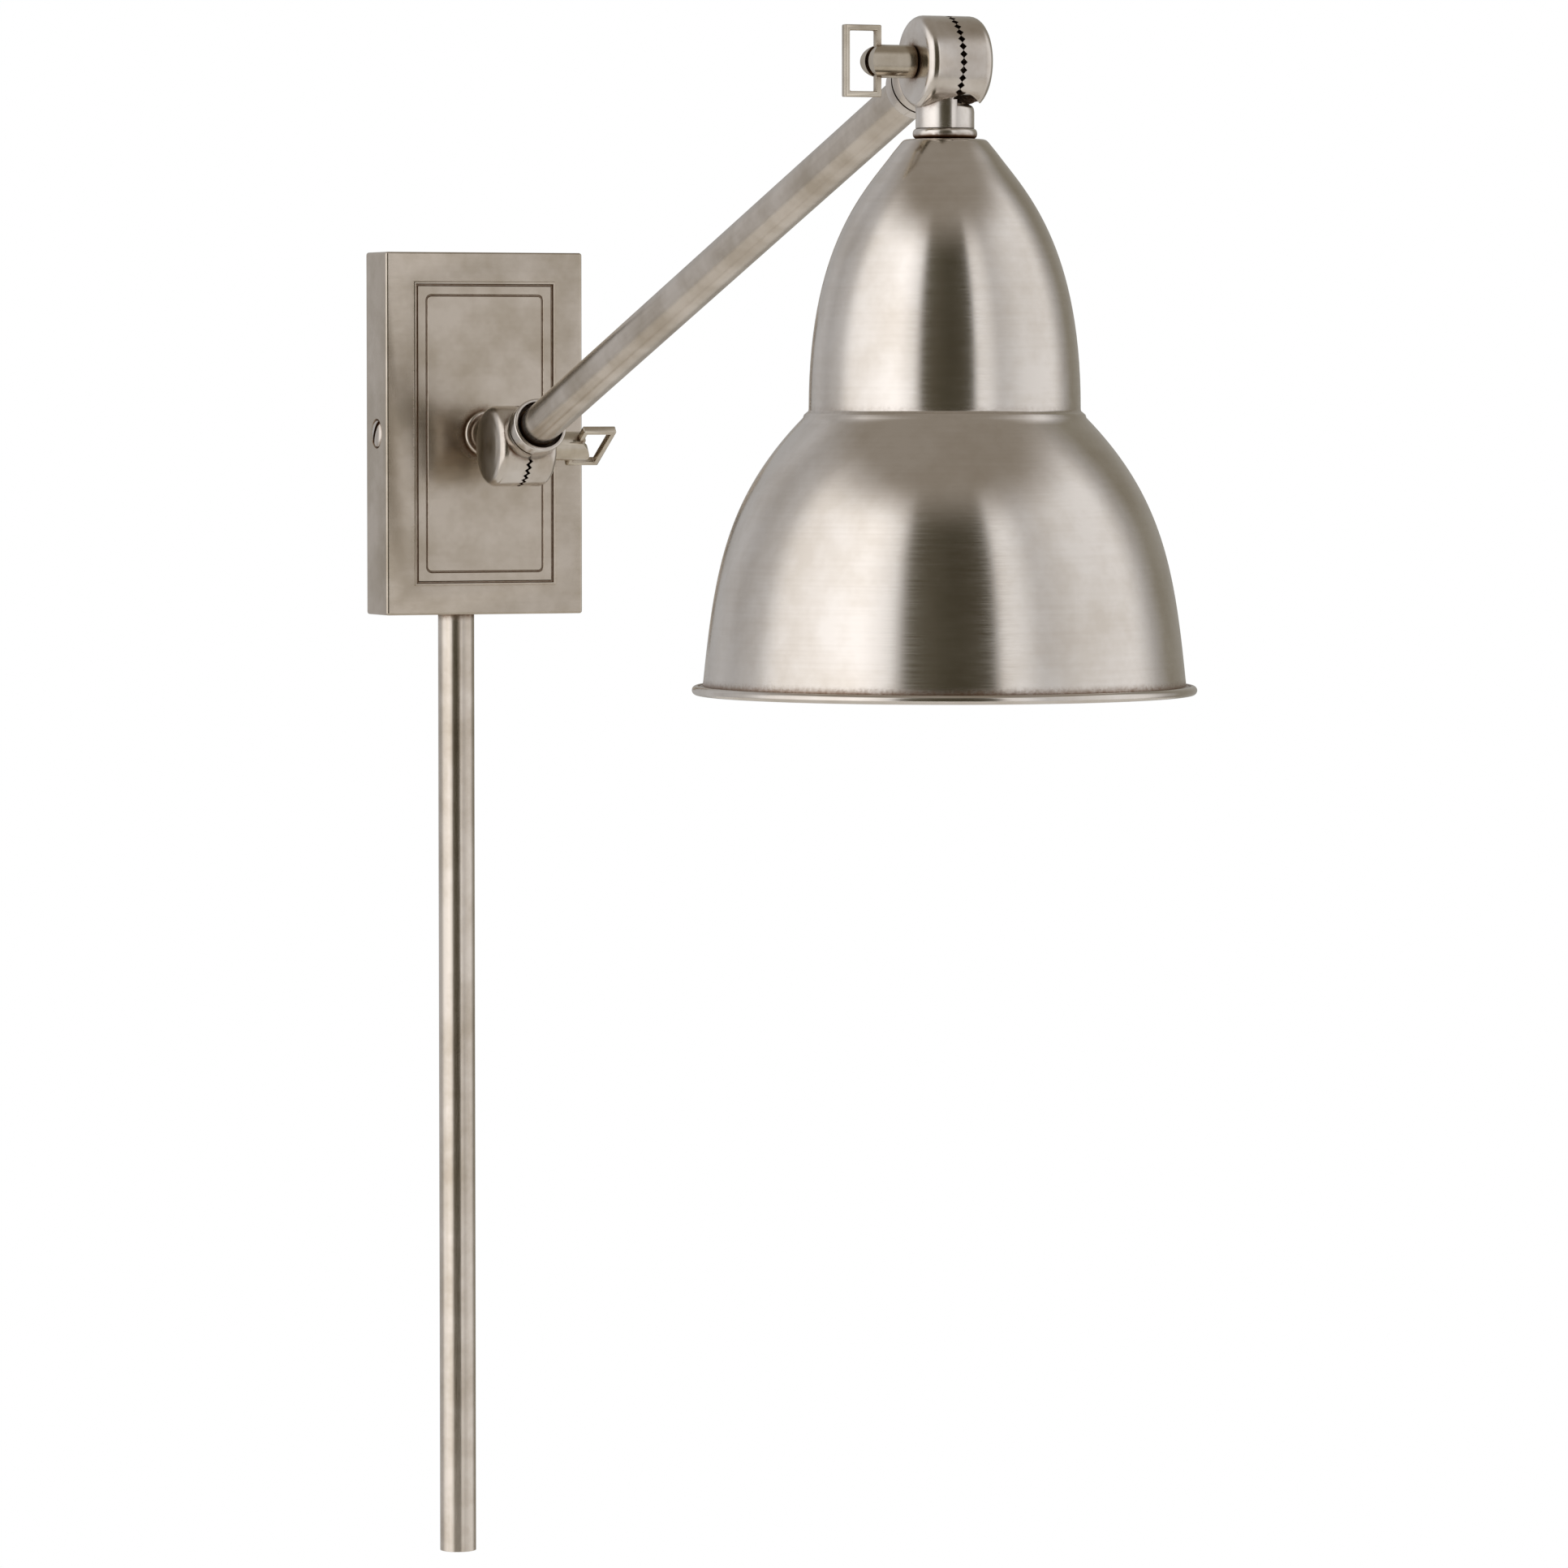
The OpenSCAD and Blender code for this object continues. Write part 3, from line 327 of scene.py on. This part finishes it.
plate_low, plate_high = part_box("wall_plate")
screw_low, screw_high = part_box("cover_screws")
screw_place = (screw_low + screw_high) / 2
plate_size = plate_high - plate_low
plate_nickel = antique_nickel(
    "nickel_plate_brushed_across", (0, 0, 0), (1, 0, 0), "along",
    tone="c5baab", shade_tone="b0a492", streak=0.07, satin=0.20)

bm = bmesh.new()
bmesh.ops.create_cube(bm, size=1.0)
bmesh.ops.scale(bm, verts=bm.verts, vec=plate_size)
bmesh.ops.translate(bm, verts=bm.verts, vec=(plate_low + plate_high) / 2)
back = [face for face in bm.faces if face.normal.y > 0.9]
bmesh.ops.delete(bm, geom=back, context="FACES_ONLY")
front_edges = [edge for edge in bm.edges if all(v.co.y < plate_low.y + 1e-6 for v in edge.verts)]
depth_edges = [edge for edge in bm.edges if abs(edge.verts[0].co.y - edge.verts[1].co.y) > 0.01]
bmesh.ops.bevel(bm, geom=front_edges + depth_edges, offset=PLATE_EDGE, offset_type="OFFSET", affect="EDGES",
                segments=4, profile=0.5, material=-1)


def broad_flats(bm, direction):
    """The large flat faces that look in one direction."""
    return [f for f in bm.faces if f.normal.dot(direction) > 0.999 and f.calc_area() > BROAD]


def step_in(bm, faces, width, rise=0.0):
    """One step of the pressed relief: the region narrows by width and rises by rise."""
    bmesh.ops.inset_region(bm, faces=faces, thickness=width, depth=rise, use_even_offset=True)


front = broad_flats(bm, OUTWARDS)
step_in(bm, front, OUTER_LINE - PLATE_EDGE)
for width, rise in RAISED_LINE:
    step_in(bm, front, width * MM, rise * MM)
step_in(bm, front, LINE_GAP)
corners = list(front[0].verts)
bmesh.ops.bevel(bm, geom=corners, offset=INNER_LINE_CORNER, offset_type="OFFSET", affect="VERTICES",
                segments=6, profile=0.5, material=-1)
plate_face = Vector((0, plate_low.y, 0))
front = [min(broad_flats(bm, OUTWARDS), key=lambda f: (f.calc_center_median() - plate_face).length)]
for width, rise in INCISED_LINE:
    step_in(bm, front, width * MM, rise * MM)
# a countersunk hole in each side for its cover screw
for side in (-1, 1):
    flat = broad_flats(bm, X_AXIS * side)
    outline = [edge for face in flat for edge in face.edges]
    bmesh.ops.delete(bm, geom=flat, context="FACES_ONLY")
    middle = Vector((side * plate_high.x, screw_place.y, screw_place.z))
    ring = bmesh.ops.create_circle(
        bm, cap_ends=False, segments=64, radius=SCREW_HOLE / 2,
        matrix=Matrix.Translation(middle) @ Matrix.Rotation(math.pi / 2, 4, "Y"))["verts"]
    ring_edges = list(dict.fromkeys(edge for vert in ring for edge in vert.link_edges))
    bmesh.ops.triangle_fill(bm, use_beauty=True, edges=outline + ring_edges, normal=X_AXIS * side)
    sunk = bmesh.ops.extrude_edge_only(bm, edges=ring_edges)["geom"]
    narrowing = SCREW_HOLE_FOOT / SCREW_HOLE
    for vert in [g for g in sunk if isinstance(g, bmesh.types.BMVert)]:
        vert.co = middle + (vert.co - middle) * narrowing - X_AXIS * side * SCREW_HOLE_SINK
wall_plate = piece("wall_plate_pressed", bm, plate_nickel)
sheet = wall_plate.modifiers.new("sheet", "SOLIDIFY")
sheet.thickness = PLATE_SHEET
sheet.offset = -1.0
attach(wall_plate, "wall")
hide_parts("wall_plate")


# ---------------------------------------------------------------- cover screws
# Two oval-head machine screws, one in each side of the plate, turned from brass and plated
# to match; each has a plain slot and sits with its rim just under the sheet's face.

SCREW_DIAMETER = 11.4 * MM
SCREW_CROWN = 1.0 * MM
SCREW_SLOT = 2.1 * MM
SCREW_SLOT_DEPTH = 1.6 * MM
SCREW_SLOT_LEAST = 0.2 * MM
# half profile of the oval head, as mm in from its rim and mm above the sheet's face
HEAD_PROFILE = [(0.6, -1.3), (0.0, -0.75), (0.0, -0.5), (0.45, 0.1), (1.596, 0.62), (3.534, 0.91)]
# how each screw's slot came to rest, in degrees
SLOT_TURNS = {"left": -30, "right": 48}


def turned(bm, profile, steps):
    """Spins a profile of (radius, height) points about Z."""
    points = [bm.verts.new((radius, 0.0, height)) for radius, height in profile]
    line = [bm.edges.new(pair) for pair in zip(points, points[1:])]
    bmesh.ops.spin(bm, geom=points + line, cent=(0, 0, 0), axis=(0, 0, 1),
                   angle=math.tau, steps=steps, use_merge=True)
    bmesh.ops.remove_doubles(bm, verts=bm.verts, dist=1e-6)


def swing(bm, angle, axis):
    """Turns the whole shape about the X, Y or Z axis through the origin."""
    bmesh.ops.rotate(bm, verts=bm.verts, cent=(0, 0, 0), matrix=Matrix.Rotation(angle, 3, axis))


for side, label in ((-1, "left"), (1, "right")):
    middle = Vector((side * plate_high.x, screw_place.y, screw_place.z))
    screw_nickel = antique_nickel(f"nickel_turned_screw_{label}", middle, (1, 0, 0), "around")
    bm = bmesh.new()
    head = [(SCREW_DIAMETER / 2 - inset * MM, height * MM) for inset, height in HEAD_PROFILE]
    turned(bm, head + [(0.0, SCREW_CROWN)], 48)
    for cheek in (-SCREW_SLOT / 2, SCREW_SLOT / 2):
        bmesh.ops.bisect_plane(bm, geom=bm.verts[:] + bm.edges[:] + bm.faces[:], dist=1e-7,
                               plane_co=(0, cheek, 0), plane_no=(0, 1, 0))
    strip = [f for f in bm.faces if abs(f.calc_center_median().y) < SCREW_SLOT / 2]
    cut = bmesh.ops.extrude_face_region(bm, geom=strip)
    bmesh.ops.delete(bm, geom=strip, context="FACES")
    sunk = [g for g in cut["geom"] if isinstance(g, bmesh.types.BMVert)]
    for vert in sunk:
        vert.co.z = min(vert.co.z - SCREW_SLOT_LEAST, SCREW_CROWN - SCREW_SLOT_DEPTH)
    swing(bm, math.radians(SLOT_TURNS[label]), "Z")
    swing(bm, side * math.pi / 2, "Y")
    bmesh.ops.translate(bm, verts=bm.verts, vec=middle)
    screw = piece(f"cover_screw_{label}", bm, screw_nickel)
    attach(screw, "wall")
    if side < 0:
        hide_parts("cover_screws")


# ---------------------------------------------------------------- neck, rings and knuckles
# The two toothed knuckles, their swivel collars, the neck and the ring over the shade are turned
# and milled from brass, plated, and brushed round their own axes; every edge is broken by hand.


def machined(node, finish, edge, body, name=None):
    """The piece that the CAD node stands for, with its corners broken to a small round."""
    bm = bmesh.new()
    bm.from_mesh(nodes[node].data)
    bmesh.ops.remove_doubles(bm, verts=bm.verts, dist=2e-6)
    bmesh.ops.dissolve_degenerate(bm, edges=bm.edges, dist=2e-6)
    made = piece(name or f"{node}_turned", bm, finish)
    if edge:
        broken = made.modifiers.new("broken_edges", "BEVEL")
        broken.width = edge
        broken.segments = 2
        broken.limit_method = "ANGLE"
        broken.angle_limit = math.radians(38)
        broken.use_clamp_overlap = True
        broken.harden_normals = False
    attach(made, body)
    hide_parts(node)


Z_AXIS = Vector((0, 0, 1))
lower_hinge = hinges["arm_tilt"]
upper_hinge = hinges["shade_tilt"]
arm_axis = (upper_hinge - lower_hinge).normalized()
KNUCKLE_EDGE = 0.18 * MM
RING_EDGE = 0.15 * MM
lower_knuckle_nickel = antique_nickel(
    "nickel_turned_lower_knuckle", lower_hinge, X_AXIS, "around", streak=0.08, satin=0.16)
upper_knuckle_nickel = antique_nickel(
    "nickel_turned_upper_knuckle", upper_hinge, X_AXIS, "around", streak=0.08, satin=0.16)
ring_low, ring_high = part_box("neck_ring")
neck_nickel = antique_nickel("nickel_turned_neck_ring", (ring_low + ring_high) / 2, (0, 1, 0), "around")
shade_nickel = antique_nickel(
    "nickel_spun_shade", upper_hinge, Z_AXIS, "around", shade_tone="cbc2b6", satin=0.11)

machined("wall_knuckle", lower_knuckle_nickel, KNUCKLE_EDGE, "wall")
machined("arm_knuckle", lower_knuckle_nickel, KNUCKLE_EDGE, "arm_base")
machined("head_knuckle", upper_knuckle_nickel, KNUCKLE_EDGE, "head_base")
machined("shade_knuckle", upper_knuckle_nickel, KNUCKLE_EDGE, "shade_head")
machined("neck_ring", neck_nickel, RING_EDGE, "wall")
machined("shade_ring", shade_nickel, RING_EDGE, "shade_head")


# ---------------------------------------------------------------- thumb keys
# Each key is a turned shank with a rounded, slotted end and a square loop of flat bar
# riveted in the slot; the loop's corners are nearly sharp and its edges are soft from the buff.

SHANK_EDGE = 0.35 * MM
LOOP_HEIGHT = 26 * MM
LOOP_WIDTH = 14.5 * MM
LOOP_DEPTH = 3.2 * MM
LOOP_BAR = 2.1 * MM
LOOP_EDGE = 0.5 * MM
# each key's hinge, body, side of the knuckle that it points to, and turn from upright in degrees
KEYS = [("lower", lower_hinge, "lower_key", 1, 57.5), ("upper", upper_hinge, "upper_key", -1, 0.0)]

for label, hinge, body, toward, key_turn in KEYS:
    key_nickel = antique_nickel(
        f"nickel_buffed_key_{label}", hinge, X_AXIS, "around",
        tone="cdc3b2", shade_tone="a89b86", streak=0.08)
    machined(f"{label}_key_shank", key_nickel, SHANK_EDGE, body)
    # the loop stands upright in the plane of the shank, before it is turned with its key
    loop_low, loop_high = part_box(f"{label}_key_loop")
    inner_end = loop_low.x if toward > 0 else loop_high.x
    bm = bmesh.new()
    bmesh.ops.create_grid(bm, x_segments=1, y_segments=1, size=0.5)
    bmesh.ops.scale(bm, verts=bm.verts, vec=(LOOP_WIDTH, LOOP_HEIGHT, 1.0))
    bmesh.ops.inset_individual(bm, faces=bm.faces[:], thickness=LOOP_BAR, use_even_offset=True)
    hole = [face for face in bm.faces if face.calc_center_median().length < 1e-6]
    bmesh.ops.delete(bm, geom=hole, context="FACES_ONLY")
    bar = bmesh.ops.extrude_face_region(bm, geom=bm.faces[:], use_keep_orig=True)
    raised = [g for g in bar["geom"] if isinstance(g, bmesh.types.BMVert)]
    bmesh.ops.translate(bm, verts=raised, vec=(0, 0, LOOP_DEPTH))
    bmesh.ops.translate(bm, verts=bm.verts, vec=(toward * LOOP_WIDTH / 2, 0, -LOOP_DEPTH / 2))
    bmesh.ops.recalc_face_normals(bm, faces=bm.faces)
    rims = [edge for edge in bm.edges if edge.calc_face_angle(0) > math.radians(60)]
    bmesh.ops.bevel(bm, geom=rims, offset=LOOP_EDGE, offset_type="OFFSET", affect="EDGES",
                    segments=3, profile=0.5, material=-1)
    swing(bm, math.pi / 2, "X")
    swing(bm, math.radians(key_turn), "X")
    bmesh.ops.translate(bm, verts=bm.verts, vec=(inner_end, hinge.y, hinge.z))
    loop = piece(f"{label}_key_loop_bent", bm, key_nickel)
    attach(loop, body)
    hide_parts(f"{label}_key_loop")


# ---------------------------------------------------------------- arm tube and cord cover
# Drawn steel tube, plated and brushed along its length. The arm is closed by its collars;
# the cord cover is open at the foot and slotted along the wall for the cord.

COVER_EDGE = 0.12 * MM
TUBE_TONE = "d4cabd"
TUBE_SHADE_TONE = "b8ac9b"

tube_nickel = antique_nickel(
    "nickel_drawn_arm_tube", lower_hinge, arm_axis, "along",
    tone=TUBE_TONE, shade_tone=TUBE_SHADE_TONE, streak=0.12, satin=0.20)
machined("arm_tube", tube_nickel, 0.0, "arm")
cover_low, cover_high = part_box("cord_cover")
cover_nickel = antique_nickel(
    "nickel_drawn_cord_cover", (cover_low + cover_high) / 2, Z_AXIS, "along",
    tone=TUBE_TONE, shade_tone=TUBE_SHADE_TONE, satin=0.20)
machined("cord_cover", cover_nickel, COVER_EDGE, "wall")


# ---------------------------------------------------------------- shade
# A shell of two bells, spun from 0.9 mm brass sheet over wooden chucks, with a small step at its
# waist and the rim rolled outward over a wire; plated outside and stove-enamelled white inside.

SHADE_WALL = 0.9 * MM
BEAD_RADIUS = 1.7 * MM
BEAD_STANDS_OUT = 2.3 * MM
# the crown: a hole for the nipple, a flat seat for the ring and a round edge down to the bell
NIPPLE_HOLE = 5.2 * MM
SEAT_RADIUS = 13.6 * MM
CROWN_ROUND = 2.8 * MM
BELL_TOP_RADIUS = 19 * MM
BELL_TOP_DROP = 5 * MM
# the step at the waist, outwards and downwards
STEP_OUT = 2.1 * MM
STEP_DOWN = 2.8 * MM
# what each bell's two inner control points take of its span and of its fall
UPPER_BELL_PULL = ((0.31, 0.138), (1.0, 0.347))
LOWER_BELL_PULL = ((0.772, 0.297), (0.885, 0.573))
# the upper bell ends upright this far above the waist, and its foot is rounded below it,
# as mm outwards and mm down
WAIST_UPRIGHT = 0.5 * MM
WAIST_ROUND = ((0.05, 0.0), (0.25, 0.45), (0.95, 1.0), (1.75, 1.7))


def bell_curve(points, steps):
    """Points (radius, height) of a cubic curve with four control points."""
    found = []
    for i in range(steps + 1):
        t = i / steps
        weights = ((1 - t) ** 3, 3 * t * (1 - t) ** 2, 3 * t * t * (1 - t), t ** 3)
        found.append(tuple(sum(w * p[k] for w, p in zip(weights, points)) for k in (0, 1)))
    return found


upper_low, upper_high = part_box("shade_upper")
lower_low, lower_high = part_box("shade_lower")
waist_radius = (upper_high.x - upper_low.x) / 2
waist_height = lower_high.z
top_height = upper_high.z
bell_top = top_height - BELL_TOP_DROP
bead_reach = (lower_high.x - lower_low.x) / 2 - BEAD_RADIUS
bead_height = lower_low.z + BEAD_RADIUS
rim_radius = bead_reach - BEAD_STANDS_OUT
rim_height = bead_height + BEAD_RADIUS
step_radius = waist_radius + STEP_OUT
step_height = waist_height - STEP_DOWN
upper_span = waist_radius - BELL_TOP_RADIUS
upper_fall = bell_top - waist_height
lower_span = rim_radius - step_radius
lower_fall = step_height - rim_height

crown = [(NIPPLE_HOLE, top_height), (SEAT_RADIUS, top_height)]
for angle in (12, 25, 38, 50):
    outward, up = math.sin(math.radians(angle)), math.cos(math.radians(angle))
    crown.append((SEAT_RADIUS + CROWN_ROUND * outward, top_height - CROWN_ROUND * (1 - up)))
upper_pull = [(BELL_TOP_RADIUS + out * upper_span, bell_top - down * upper_fall)
              for out, down in UPPER_BELL_PULL]
upper_bell = bell_curve(
    [(BELL_TOP_RADIUS, bell_top), *upper_pull, (waist_radius, waist_height + WAIST_UPRIGHT)], 30)
waist = [(waist_radius + out * MM, waist_height - down * MM) for out, down in WAIST_ROUND]
lower_pull = [(step_radius + out * lower_span, step_height - down * lower_fall)
              for out, down in LOWER_BELL_PULL]
lower_bell = bell_curve([(step_radius, step_height), *lower_pull, (rim_radius, rim_height)], 36)
# the rolled wire edge: out under the wall, round the wire and back up to touch it
curl = []
for angle in range(128, -218, -18):
    outward, up = math.cos(math.radians(angle)), math.sin(math.radians(angle))
    curl.append((bead_reach + BEAD_RADIUS * outward, bead_height + BEAD_RADIUS * up))

bm = bmesh.new()
turned(bm, crown + upper_bell + waist + lower_bell + curl, 192)
bmesh.ops.translate(bm, verts=bm.verts, vec=(upper_hinge.x, upper_hinge.y, 0.0))

# White stoving enamel: smooth, slightly glossy, with a faint orange peel 1.2 mm across
enamel, tree = bare_material("white_stoving_enamel")
place = add(tree, "ShaderNodeTexCoord").outputs["Object"]
peel = add(tree, "ShaderNodeTexNoise", {"Vector": place, "Scale": 830.0, "Detail": 2.0}).outputs["Fac"]
warm = add(tree, "ShaderNodeTexNoise", {"Vector": place, "Scale": 22.0, "Detail": 3.0}).outputs["Fac"]
tone = ramp_of(tree, warm, [(0.3, linear("e9e5db")), (0.7, linear("f1eee6"))])
relief = add(tree, "ShaderNodeBump", {"Height": peel, "Strength": 0.12, "Distance": 0.00008}).outputs[0]
surface = add(tree, "ShaderNodeBsdfPrincipled", {"Base Color": tone, "Roughness": 0.34, "Normal": relief})
add(tree, "ShaderNodeOutputMaterial", {"Surface": surface.outputs[0]})

shade = piece("shade_spun", bm, [shade_nickel, enamel], sharp=math.radians(40))
wall = shade.modifiers.new("wall", "SOLIDIFY")
wall.thickness = SHADE_WALL
wall.offset = -1.0
wall.use_rim = True
wall.material_offset = 1
wall.material_offset_rim = 0
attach(shade, "shade_head")
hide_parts("shade_upper", "shade_lower")


# ---------------------------------------------------------------- lampholder and bulb
# A brass shell screwed on the threaded nipple under the shade, a ceramic-filled insulator and
# threaded sleeve inside it, and a clear LED filament bulb in the sleeve.


def plain_finish(name, light, dark, grain_mm, roughness, metallic=0.0, relief=0.0):
    """A finish with two close tones in a fine noise of grain_mm, and a little relief from it."""
    material, tree = bare_material(name)
    place = add(tree, "ShaderNodeTexCoord").outputs["Object"]
    grain = add(tree, "ShaderNodeTexNoise", {
        "Vector": place, "Scale": 1000.0 / grain_mm, "Detail": 4.0, "Roughness": 0.6}).outputs["Fac"]
    tone = ramp_of(tree, grain, [(0.35, linear(dark)), (0.65, linear(light))])
    gloss = add(tree, "ShaderNodeMapRange", {
        "Value": grain, "From Min": 0.3, "From Max": 0.7,
        "To Min": roughness - 0.06, "To Max": roughness + 0.06}).outputs[0]
    inputs = {"Base Color": tone, "Metallic": metallic, "Roughness": gloss}
    if relief:
        inputs["Normal"] = add(tree, "ShaderNodeBump", {
            "Height": grain, "Strength": relief, "Distance": 0.0001}).outputs[0]
    surface = add(tree, "ShaderNodeBsdfPrincipled", inputs)
    add(tree, "ShaderNodeOutputMaterial", {"Surface": surface.outputs[0]})
    return material


def paint(material, *names):
    """Gives CAD nodes that stay as they are their finish."""
    for name in names:
        slots = nodes[name].data.materials
        slots.clear()
        slots.append(material)


# Turned brass, dulled by handling: yellow with brown clouds 6 mm across
brass = plain_finish("turned_brass", "cfae6b", "a9843f", 6.0, 0.30, metallic=1.0)
# Zinc-plated steel: cold grey with a slightly blue cloudy passivation
zinc = plain_finish("zinc_plated_steel", "c3c7cb", "9fa5ab", 3.0, 0.36, metallic=1.0)
# Nickel-plated brass of the bulb's screw cap, drawn and bright
cap_nickel = plain_finish("nickel_plated_cap", "d6d3cc", "bdb9b0", 4.0, 0.24, metallic=1.0)
# Spring steel, oil blackened: near black brown, satin
blackened = plain_finish("blackened_spring_steel", "3b3027", "1f1914", 1.2, 0.42, metallic=1.0)
# Steatite porcelain, unglazed: warm white with faint speckle
steatite = plain_finish("steatite_porcelain", "e6e1d6", "d5cfc2", 0.8, 0.62, relief=0.25)
# Black glass round the bulb's tip, fused and glossy
black_glass = plain_finish("black_vitrite_glass", "17171a", "0d0d0f", 1.5, 0.14)
# Soft PVC wire covering, satin white, with a faintly uneven skin from the extruder
wire_pvc = plain_finish("pvc_wire_covering", "e4e2dc", "d2cfc7", 1.4, 0.45, relief=0.15)
# Bare copper wire, tinned brown by age
copper = plain_finish("aged_copper_wire", "b8764c", "8a5232", 1.0, 0.34, metallic=1.0)
# Moulded polypropylene of the screw-on wire connectors
connector_plastic = plain_finish("moulded_polypropylene", "d9731f", "c2621a", 1.0, 0.48, relief=0.3)
# Green passivated steel of the earth screw
earth_green = plain_finish("green_passivated_steel", "4f8f5c", "356b42", 1.2, 0.40, metallic=0.6)
# Yellow phosphor silicone over the LED chips, beaded along the filament
phosphor = plain_finish("phosphor_silicone", "e8b23a", "cf9324", 1.1, 0.55, relief=0.5)

machined("holder_shell", brass, 0.0, "shade_head")
machined("holder_sleeve", brass, 0.0, "shade_head")
machined("holder_insulator", steatite, 0.0, "shade_head")
machined("bulb_cap", cap_nickel, 0.0, "shade_head")
machined("bulb_stem", steatite, 0.0, "shade_head", name="bulb_stem_glass")
machined("bulb_filaments", phosphor, 0.0, "shade_head")
paint(brass, "shade_nipple", "nipple_nut", "holder_contact", "base_spigot", "head_spigot")
paint(zinc, "wall_bracket", "neck_washer", "neck_nut", "cover_clips", "nipple_washer", "bulb_tip")
paint(blackened, "base_retainer", "head_retainer", "lower_key_washer", "upper_key_washer", "stop_pins")
paint(black_glass, "bulb_insulator")
paint(wire_pvc, "supply_wires", "arm_wires", "shade_wires")
paint(copper, "earth_wire")
paint(connector_plastic, "wire_connectors")
paint(earth_green, "earth_screw")

# Clear soda-lime glass, blown: colourless, with the faintest ripple left by the mould
bulb_clear, tree = bare_material("blown_soda_lime_glass")
place = add(tree, "ShaderNodeTexCoord").outputs["Object"]
ripple = add(tree, "ShaderNodeTexNoise", {"Vector": place, "Scale": 60.0, "Detail": 1.0}).outputs["Fac"]
haze = add(tree, "ShaderNodeMapRange", {"Value": ripple, "To Min": 0.0, "To Max": 0.05}).outputs[0]
relief = add(tree, "ShaderNodeBump", {"Height": ripple, "Strength": 0.1, "Distance": 0.0002}).outputs[0]
surface = add(tree, "ShaderNodeBsdfPrincipled", {
    "Base Color": (0.97, 0.98, 0.97, 1.0), "Roughness": haze, "IOR": 1.5,
    "Transmission Weight": 1.0, "Normal": relief})
add(tree, "ShaderNodeOutputMaterial", {"Surface": surface.outputs[0]})
machined("bulb_glass", bulb_clear, 0.0, "shade_head")
